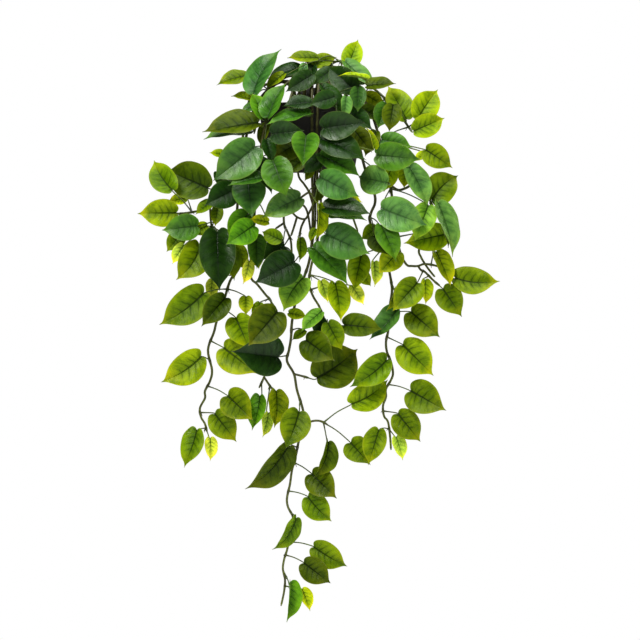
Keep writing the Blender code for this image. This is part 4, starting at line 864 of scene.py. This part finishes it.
def make_fine_soil(finish):
    """The soil's filled body with a crumbly top, in rings from the pot's wall to the middle."""
    floor = POT_FLOOR_Z + POT_WALL + FIT_GAP
    edge = SOIL_TOP_Z - 2 * SOIL_WAVE
    middle = Vector((0, -HUB_DEPTH, 0))
    rings = [inner_ring(z, FIT_GAP) for z in (floor, edge)]
    for step in range(1, SOIL_RINGS):
        spots = [middle + (point - middle) * (1 - step / SOIL_RINGS) for point in rings[1]]
        rings.append([Vector((spot.x, spot.y, soil_height(spot.x, spot.y))) for spot in spots])
    soil = loft("fine_soil", rings)
    soil.data.materials.append(finish)
    smooth_shading(soil, sharp_degrees=60)
    return soil


def fine_template(parts, across_steps):
    """A fine leaf's sheet: for each point its along, across, rib and out, then its faces and its rim.

    Ribs run from the midrib to the edge as the side veins do. A point's rib is where its rib leaves the
    midrib, or less than 0 in the lobe. Its out is 0 on the midrib and 1 on the edge, or -1 on the right.
    """
    edge = smooth([Vector(point) for point in EDGE_CURVE], parts)
    ribs = len(edge) - 1
    steps = len(across_steps) - 1
    anchors = []
    for point in edge:
        least = anchors[-1] + RIB_STEP if anchors else 0.0
        anchors.append(max(least, point.x - VEIN_LEAN * point.y))
    lobe = sum(point.x < VEIN_LEAN * point.y for point in edge)
    places = [LOBE_RIB * (1 - rib / lobe) if rib < lobe else anchors[rib] for rib in range(ribs)]
    points = [(anchors[rib], 0.0, places[rib], 0.0) for rib in range(ribs)] + [(1.0, 0.0, 1.0, 0.0)]
    for side in (1, -1):
        for rib in range(ribs):
            for out in across_steps[1:]:
                along = anchors[rib] + (edge[rib].x - anchors[rib]) * out ** VEIN_CURVE
                points.append((along, side * edge[rib].y * out, places[rib], side * out))

    def number(side, rib, step):
        if rib == ribs or step == 0:
            return rib
        return ribs + 1 + (0 if side == 1 else ribs * steps) + rib * steps + step - 1

    faces = []
    for side in (1, -1):
        for rib in range(ribs):
            for step in range(steps):
                face = [number(side, rib, step), number(side, rib, step + 1),
                        number(side, rib + 1, step + 1), number(side, rib + 1, step)]
                face = list(dict.fromkeys(face))
                faces.append(tuple(reversed(face) if side == 1 else face))
    rim = [number(1, 0, step) for step in range(steps + 1)]
    rim += [number(1, rib, steps) for rib in range(1, ribs + 1)]
    rim += [number(-1, rib, steps) for rib in range(ribs - 1, 0, -1)]
    rim += [number(-1, 0, step) for step in range(steps, 0, -1)]
    return np.array(points), faces, rim


LARGE_FINE = fine_template(LARGE_EDGE_PARTS, ACROSS_STEPS)
SMALL_FINE = fine_template(SMALL_EDGE_PARTS, SMALL_ACROSS_STEPS)


class Batch:
    """Points, faces and their colours, gathered for one mesh."""

    def __init__(self):
        self.points = []
        self.faces = []
        self.slots = []
        self.colours = []
        self.rows = []

    def add(self, points, faces, slot, colours, rows=None):
        """Adds a solid. A colour's fourth value is the veins' strength, and a row is a leaf template's."""
        first = len(self.points)
        self.points.extend(tuple(point) for point in points)
        self.faces.extend(tuple(first + index for index in face) for face in faces)
        self.slots.extend([slot] * len(faces))
        self.colours.extend(colours)
        self.rows.extend([(0.0, 0.0, 0.0, 0.0)] * len(points) if rows is None else rows)

    def build(self, name, materials):
        """The mesh object, with the colours and leaf places as attributes."""
        mesh = bpy.data.meshes.new(name)
        mesh.from_pydata(self.points, [], self.faces)
        for finish in materials:
            mesh.materials.append(finish)
        mesh.polygons.foreach_set("material_index", self.slots)
        tint = mesh.color_attributes.new("tint", "FLOAT_COLOR", "POINT")
        tint.data.foreach_set("color", np.array(self.colours, dtype=np.float32).ravel())
        corner_points = np.zeros(len(mesh.loops), dtype=np.int32)
        mesh.loops.foreach_get("vertex_index", corner_points)
        rows = np.array(self.rows, dtype=np.float32)[corner_points]
        for layer, values in (("place", rows[:, :2]), ("rib", rows[:, 2:])):
            mesh.uv_layers.new(name=layer).data.foreach_set("uv", values.ravel())
        piece = add_object(name, mesh)
        smooth_shading(piece, sharp_degrees=62)
        mesh.update()
        return piece


def leaf_surface(blade, template, lift, habit):
    """The points of one side of a fine blade, lifted from its middle surface."""
    along, across, rib, out = template.T
    length, half = blade.length, blade.half_width
    size_across = np.abs(across)
    width_out = across * half
    soft = SOFT_FOLD * half
    rise = (np.sqrt(width_out ** 2 + soft ** 2) - soft) * math.sin(blade.fold)
    rise -= length * np.where(along < 0, LOBE_DROOP, TIP_DROOP) * along ** 2
    rise += length * EDGE_WAVE * across * size_across * np.sin(EDGE_WAVES * along + blade.phase)
    rise += half * CUPPING * np.sin(math.pi * size_across)
    shift, side_shift = RUFFLE_SHIFTS
    ruffles = np.sin(RUFFLE_WAVES * along + shift * blade.phase + side_shift * np.sign(across))
    rise += length * RUFFLE * size_across ** 3 * ruffles * (1 - np.clip(along, 0, 1))
    quilting = np.cos(2 * math.pi * rib / VEIN_STEP) * np.sin(math.pi * np.clip(np.abs(out), 0, 1))
    rise -= length * QUILT * quilting * np.clip(1 - rib, 0, 1)
    rise += half * habit.roll * across ** 2
    rise -= length * habit.hook * np.clip(along - HOOK_START, 0, 1) ** 2 / HOOK_REACH
    swells = (np.sin(SWELL_WAVES[0] * along + habit.phase)
              * np.sin(SWELL_WAVES[1] * across + SWELL_SHIFT * habit.phase))
    rise += length * SWELL * swells * size_across ** 0.5 * np.clip(SWELL_FADE * (1 - along), 0, 1)
    rise += lift
    sway = habit.sway * length * (np.clip(along - SWAY_START, 0, 1) / SWAY_REACH) ** 2
    side = width_out * math.cos(blade.fold) + 4 * blade.bow * along * (1 - along) + sway
    return (np.array(blade.base)[None, :] + np.outer(along * length, blade.along)
            + np.outer(side, blade.side) + np.outer(rise, blade.face))


def vary(colour, rng, amount):
    """A colour a little lighter or darker, and a little yellower or bluer."""
    light = 1 + amount * rng.uniform(-1, 1)
    warm = 1 + WARMTH_SPREAD * amount * rng.uniform(-1, 1)
    return (colour[0] * light * warm, colour[1] * light, colour[2] * light / warm)


def blend_colour(first, final, share):
    """A colour part of the way between two."""
    return tuple(a + (b - a) * share for a, b in zip(first, final))


def add_blade(batch, plan, blade, rng):
    """One fine leaf: two sheets with a rim, thinner towards the edge, the midrib raised below."""
    template, sheet, rim = LARGE_FINE if blade.length > SMALL_LEAF else SMALL_FINE
    count = len(template)
    out = np.abs(template[:, 3])
    half = SHEET_HALF + (MARGIN_HALF - SHEET_HALF) * out ** 2
    habit = Habit(*(rng.uniform(least, most) for least, most in HABIT_LIMITS))
    top = leaf_surface(blade, template, half, habit)
    fading = 1 - KEEL_FADE * np.clip(template[:, 0], 0, 1)
    keel = MIDRIB_DEPTH * np.exp(-(out / MIDRIB_REACH) ** 2) * fading
    bottom = leaf_surface(blade, template, -half - keel, habit)
    faces = sheet + [tuple(count + index for index in reversed(face)) for face in sheet]
    for here, following in zip(rim, rim[1:] + rim[:1]):
        faces.append((here, following, count + following, count + here))
    colour = vary(SHADES[plan.shade], rng, SHADE_SPREAD)
    satin = plan.shade in SATIN_SHADES
    colours = [(*colour, SOFT_VEINS if satin else 1.0)] * count + [(*colour, 0.0)] * count
    batch.add(np.vstack([top, bottom]), faces, SATIN_SLOT if satin else YOUNG_SLOT, colours,
              np.tile(template, (2, 1)))


def add_stalk(batch, plan, blade, line, rng):
    """One leaf stalk, from inside the stem to under the blade's midrib, thicker at both its ends."""
    under = blade.base + blade.along * blade.length * STALK_END - blade.face * (SHEET_HALF + STALK_SINK)
    route = smooth([under] + line[1:], STALK_PARTS)
    young = blend_colour(SHADES[plan.shade], STALK_OLD, STALK_OLD_SHARE)
    old = vary(STALK_OLD, rng, STALK_SPREAD)
    radii, colours = [], []
    for index in range(len(route)):
        share = index / (len(route) - 1)
        swell = (KNEE_SWELL * math.exp(-((share - KNEE_PLACE) / SWELL_REACH) ** 2)
                 + FOOT_SWELL * math.exp(-((share - FOOT_PLACE) / SWELL_REACH) ** 2))
        point = min(1, STALK_POINT + STALK_POINT_GROWTH * share)
        radii.append(STALK_RADIUS * (STALK_SLIMNESS + STALK_GROWTH * share + swell) * point)
        colours += [(*blend_colour(young, old, share), 1.0)] * STALK_SIDES
    batch.add(*skin(round_rings(route, radii, STALK_SIDES)), STEM_SLOT, colours)


def add_stems(batch, plant, nodes):
    """The stem and branches, thicker and darker wherever a leaf stalk leaves."""
    for number, route in enumerate(stem_routes(plant)):
        line = smooth(route, STEM_PARTS)
        radii = stem_radii(number, len(line))
        colours = []
        for index, point in enumerate(line):
            near = min((node - point).length for node in nodes)
            swell = math.exp(-(near / NODE_REACH) ** 2)
            radii[index] *= 1.0 + NODE_SWELL * swell
            colour = blend_colour(STEM_OLD, STEM_YOUNG, (index / (len(line) - 1)) ** STEM_AGEING)
            dark = 1 - NODE_DARKNESS * swell
            colours += [(*(value * dark for value in colour), 1.0)] * STEM_SIDES
        radii[-1] *= STEM_POINT
        batch.add(*skin(round_rings(line, radii, STEM_SIDES)), STEM_SLOT, colours)


def add_rootlets(batch, nodes, rng):
    """Short aerial roots at some of the nodes."""
    for node in nodes:
        if rng.random() > ROOTLET_SHARE:
            continue
        reach = rng.uniform(*ROOTLET_LENGTHS) * MM
        way = Vector((rng.uniform(-1, 1), rng.uniform(-0.7, 0.7), rng.uniform(-0.9, 0.2))).normalized()
        hook = Vector((0, 0, -1)) * reach * rng.uniform(0.1, 0.5)
        line = smooth([node, node + way * reach * 0.6, node + way * reach + hook], ROOTLET_PARTS)
        radii = taper(len(line), ROOTLET_RADIUS, ROOTLET_END_RADIUS)
        points, faces = skin(round_rings(line, radii, ROOTLET_SIDES))
        batch.add(points, faces, STEM_SLOT, [(*ROOTLET, 1.0)] * len(points))


def make_fine_vine(plant, grown, materials):
    """The finer piece that stands for one leafy stem."""
    rng = random.Random(plant.name)
    batch = Batch()
    nodes = [line[-1] for _, _, line in grown]
    add_stems(batch, plant, nodes)
    for plan, blade, line in grown:
        add_stalk(batch, plan, blade, line, rng)
        add_blade(batch, plan, blade, rng)
    add_rootlets(batch, nodes, rng)
    return batch.build("fine_" + plant.name, materials)


class Shader:
    """A small helper for building a material's nodes."""

    def __init__(self, name):
        self.material = bpy.data.materials.new(name)
        self.material.use_nodes = True
        self.tree = self.material.node_tree

    def set(self, socket, value):
        """Links an output to a socket, or sets the socket's own value."""
        if isinstance(value, bpy.types.NodeSocket):
            self.tree.links.new(value, socket)
        else:
            socket.default_value = value

    def node(self, kind, inputs, **settings):
        """A node with its settings and its inputs set or linked."""
        made = self.tree.nodes.new("ShaderNode" + kind)
        for key, value in settings.items():
            setattr(made, key, value)
        for key, value in inputs.items():
            self.set(made.inputs[key], value)
        return made

    def finish(self, inputs):
        """The material, with the inputs of its surface set or linked."""
        for key, value in inputs.items():
            self.set(self.tree.nodes["Principled BSDF"].inputs[key], value)
        return self.material

    def math(self, operation, first, second=0.0):
        """The output of a Math node."""
        return self.node("Math", {0: first, 1: second}, operation=operation).outputs[0]

    def times(self, first, second):
        """The product of two values."""
        return self.math("MULTIPLY", first, second)

    def plus(self, first, second):
        """The sum of two values."""
        return self.math("ADD", first, second)

    def size(self, value):
        """A value without its sign."""
        return self.math("ABSOLUTE", value)

    def ramp(self, value, low, high, start=0.0, end=1.0):
        """A value eased from start to end as it goes from low to high."""
        made = self.node("MapRange", {0: value, 1: low, 2: high, 3: start, 4: end},
                         interpolation_type="SMOOTHSTEP")
        return made.outputs[0]

    def mix(self, share, first, second, kind="MIX"):
        """Two colours mixed."""
        made = self.node("Mix", {0: share, 6: first, 7: second}, data_type="RGBA", blend_type=kind)
        return made.outputs[2]

    def tinted(self, colour, tint):
        """A colour multiplied by another."""
        return self.mix(1.0, colour, tint, "MULTIPLY")

    def noise(self, scale, detail=3.0, roughness=0.5, place=None):
        """The value of a noise texture, over the object's own coordinates where no place is given."""
        place = place or self.node("TexCoord", {}).outputs["Object"]
        made = self.node("TexNoise", {"Vector": place, "Scale": scale, "Detail": detail,
                                      "Roughness": roughness})
        return made.outputs["Fac"]

    def bump(self, height, strength, distance, after=None):
        """The normal of a bump, on top of another one where that is given."""
        inputs = {"Height": height, "Strength": strength, "Distance": distance}
        if after is not None:
            inputs["Normal"] = after
        return self.node("Bump", inputs).outputs["Normal"]

    def template(self, layer):
        """The two values of a leaf template's row that a UV layer holds."""
        made = self.node("SeparateXYZ", {0: self.node("UVMap", {}, uv_map=layer).outputs[0]})
        return made.outputs[0], made.outputs[1]


def leaf_material(name, specular, coat):
    """A leaf: dark midrib and side veins with painted shade along them, streaks between them, a paler margin
    and underside.
    """
    shader = Shader(name)
    mix, ramp, times, plus = shader.mix, shader.ramp, shader.times, shader.plus
    tint = shader.node("Attribute", {}, attribute_name="tint")
    base, strength = tint.outputs["Color"], tint.outputs["Alpha"]
    upper = ramp(strength, 0.1, 0.4)
    along, across = shader.template("place")
    number, out_side = shader.template("rib")
    across, out = shader.size(across), shader.size(out_side)

    # The midrib narrows and fades towards the tip
    half = ramp(along, 0.0, 0.9, 0.085, 0.02)
    midrib = ramp(shader.math("DIVIDE", across, half), 0.35, 1.0, 1.0, 0.0)
    midrib = times(midrib, ramp(along, 0.45, 0.90, 1.0, 0.2))

    # Side veins follow the ribs. They are dark near the midrib and fade outwards
    wobble = shader.noise(scale=120.0, detail=1.0)
    phase = plus(shader.math("DIVIDE", number, VEIN_STEP), times(wobble, 0.30))
    phase = shader.math("FRACT", plus(phase, 10.35))
    line = shader.size(plus(phase, -0.5))
    fade = times(ramp(out, 0.10, 0.90, 1.0, 0.0), ramp(number, 0.40, 0.75, 1.0, 0.15))
    veins = times(ramp(line, 0.02, 0.10, 0.72, 0.0), fade)
    # Painted shade: a broad darker band along each side vein, where the quilted blade dips
    beside = times(ramp(line, 0.05, 0.40, 1.0, 0.0), fade)

    # Fine streaks run the way the side veins do, and differ from leaf to leaf
    seed = shader.node("VectorMath", {0: base, 1: (61.0, 83.0, 97.0)}, operation="DOT_PRODUCT")
    spot = shader.node("CombineXYZ", {0: times(number, 46.0), 1: times(out_side, 3.2),
                                      2: seed.outputs["Value"]})
    streaks = ramp(shader.noise(scale=1.0, detail=4.0, roughness=0.65, place=spot.outputs[0]), 0.34, 0.68)
    blotches = ramp(shader.noise(scale=52.0, roughness=0.6), 0.34, 0.66)

    # The upper side, fresher towards the tip and the margin
    lighter, darker = shader.tinted(base, LIGHTER), shader.tinted(base, DARKER)
    body = mix(blotches, mix(0.80, base, darker), mix(0.80, base, lighter))
    body = mix(times(streaks, 0.60), body, lighter)
    body = mix(ramp(across, 0.0, 0.60, 0.55, 0.0), body, darker)
    # Painted shade along the side veins, in the quilted blade's dips
    body = mix(times(beside, 0.6), body, darker)
    growing = plus(times(ramp(along, 0.50, 0.95, 0.0, 0.75), blotches), ramp(out, 0.80, 1.0, 0.0, 0.35))
    body = mix(growing, body, shader.tinted(base, FRESHER))
    vein_colour = shader.tinted(base, VEIN_DARKNESS)
    body = mix(times(veins, strength), body, vein_colour)
    body = mix(times(midrib, strength), body, vein_colour)
    body = mix(ramp(out, 0.955, 1.0, 0.0, 0.40), body, MARGIN_COLOUR)
    body = mix(ramp(along, 0.93, 1.0, 0.0, 0.85), body, DRY_TIP_COLOUR)

    # The underside, paler and duller, its veins raised and paler still
    under = mix(times(blotches, 0.35), mix(0.45, base, UNDERSIDE_COLOUR), darker)
    raised = shader.math("MAXIMUM", times(veins, 0.55), midrib)
    under = mix(times(raised, 0.6), under, RAISED_VEIN_COLOUR)
    lower = shader.math("SUBTRACT", 1.0, upper)
    rough = plus(ramp(shader.noise(scale=48.0, detail=2.0), 0.32, 0.68, 0.24, 0.40), times(lower, 0.2))

    grooves = plus(plus(times(veins, -0.8), times(midrib, -1.0)), times(streaks, 0.35))
    normal = shader.bump(grooves, strength=0.6, distance=0.6 * MM)
    grain = shader.noise(scale=700.0, roughness=0.6)
    return shader.finish({
        "Base Color": mix(upper, under, body),
        "Roughness": rough,
        "Specular IOR Level": specular,
        "Coat Weight": coat,
        "Coat Roughness": 0.22,
        "Normal": shader.bump(grain, strength=0.10, distance=0.3 * MM, after=normal),
    })


def stem_material():
    """Stems and stalks: their own tint, streaked, a little knobbly."""
    shader = Shader("stem")
    tint = shader.node("Attribute", {}, attribute_name="tint").outputs["Color"]
    streaks = shader.noise(scale=260.0, detail=4.0, roughness=0.6)
    dark = shader.tinted(tint, (0.5, 0.46, 0.42, 1))
    return shader.finish({"Base Color": shader.mix(shader.ramp(streaks, 0.35, 0.65), dark, tint),
                          "Roughness": 0.5,
                          "Normal": shader.bump(streaks, strength=0.4, distance=0.4 * MM)})


def pot_material():
    """Matt near-black brown plastic with a fine moulded grain and faint scuffs. The near-black is partly
    painted shade: where the pot shows between the crown's leaves, it stands for the shade inside the crown.
    """
    shader = Shader("pot_plastic")
    scuffs = shader.noise(scale=45.0, detail=6.0, roughness=0.7)
    grain = shader.noise(scale=1500.0, detail=2.0)
    # Partly painted shade: the near-black stands for the crown's shadowed hollow where the pot shows; the
    # lighter scuffs are wear
    colour = shader.mix(shader.ramp(scuffs, 0.55, 0.75, 0.0, 0.5), (0.016, 0.014, 0.011, 1),
                        (0.036, 0.032, 0.026, 1))
    return shader.finish({"Base Color": colour,
                          "Roughness": shader.ramp(scuffs, 0.3, 0.8, 0.5, 0.72),
                          "Specular IOR Level": 0.3,
                          "Normal": shader.bump(grain, strength=0.15, distance=0.2 * MM)})


def soil_material():
    """Damp dark potting soil with lighter fibres."""
    shader = Shader("potting_soil")
    grain = shader.noise(scale=520.0, detail=6.0, roughness=0.75)
    clods = shader.noise(scale=130.0, detail=4.0, roughness=0.6)
    colour = shader.mix(shader.ramp(grain, 0.35, 0.75), (0.016, 0.011, 0.007, 1), (0.085, 0.056, 0.034, 1))
    return shader.finish({"Base Color": colour,
                          "Roughness": 0.92,
                          "Normal": shader.bump(shader.plus(grain, clods), strength=0.9, distance=1.5 * MM)})


def finish_piece(piece, node):
    """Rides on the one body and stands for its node."""
    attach(piece, "root")
    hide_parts(node)


def make_surroundings():
    """A white world, dimmer where it lights things than where the camera sees it."""
    world = bpy.data.worlds.new("studio")
    bpy.context.scene.world = world
    world.use_nodes = True
    nodes, links = world.node_tree.nodes, world.node_tree.links
    seen = nodes.new("ShaderNodeLightPath")
    shown = nodes["Background"]
    shown.inputs["Color"].default_value = (1, 1, 1, 1)
    shown.inputs["Strength"].default_value = AMBIENT
    for kind, strength in (("Is Glossy Ray", AMBIENT_GLOSS), ("Is Camera Ray", 1.0)):
        background = nodes.new("ShaderNodeBackground")
        background.inputs["Color"].default_value = (1, 1, 1, 1)
        background.inputs["Strength"].default_value = strength
        choice = nodes.new("ShaderNodeMixShader")
        links.new(seen.outputs[kind], choice.inputs[0])
        links.new(shown.outputs[0], choice.inputs[1])
        links.new(background.outputs[0], choice.inputs[2])
        shown = choice
    links.new(shown.outputs[0], nodes["World Output"].inputs["Surface"])


def make_lights():
    """The square soft lights, each aimed at a point of the plant."""
    for name, (spot, target_z, size, power, colour) in LIGHTS.items():
        lamp = bpy.data.lights.new(name, "AREA")
        lamp.size = size
        lamp.energy = power
        lamp.color = colour
        light = add_object(name, lamp)
        light.location = spot
        way = Vector((0, TARGET_Y, target_z)) - Vector(spot)
        light.rotation_euler = way.to_track_quat("-Z", "Y").to_euler()


def make_floor():
    """The pale floor, from well in front of the plant to just behind the wall's plane."""
    mesh = bpy.data.meshes.new("floor")
    x, front, back = FLOOR_REACH
    mesh.from_pydata([(-x, front, FLOOR_Z), (x, front, FLOOR_Z), (x, back, FLOOR_Z), (-x, back, FLOOR_Z)],
                     [], [(0, 1, 2, 3)])
    mesh.materials.append(Shader("floor").finish({"Base Color": (0.86, 0.86, 0.85, 1), "Roughness": 0.7}))
    add_object("floor", mesh)


def make_camera():
    """The camera, level and square to the wall, where it sees the plant as the picture does."""
    camera = bpy.data.cameras.new("camera")
    camera.sensor_width = 36
    camera.lens = camera.sensor_width * VIEW_DISTANCE / (PICTURE_SIZE * PIXEL)
    eye = add_object("camera", camera)
    eye.location = (EYE_X, -VIEW_DISTANCE, EYE_Z)
    eye.rotation_euler = (math.pi / 2, 0, 0)
    bpy.context.scene.camera = eye


def main():
    """Dresses the frame: the studio, the pot, the soil and every vine."""
    bpy.context.scene.view_settings.view_transform = "Standard"
    bpy.context.scene.view_settings.gamma = GAMMA
    make_surroundings()
    make_lights()
    make_floor()
    make_camera()
    grown = grow_leaves(VINES, [holder_obstacle(node) for node in ("pot", "soil")])
    finish_piece(make_fine_pot(pot_material()), "pot")
    finish_piece(make_fine_soil(soil_material()), "soil")
    materials = [leaf_material("satin_leaf", 0.24, 0.06), leaf_material("young_leaf", 0.11, 0.0),
                 stem_material()]
    for plant in VINES:
        piece = make_fine_vine(plant, grown[plant.name], materials)
        finish_piece(piece, plant.name)


main()
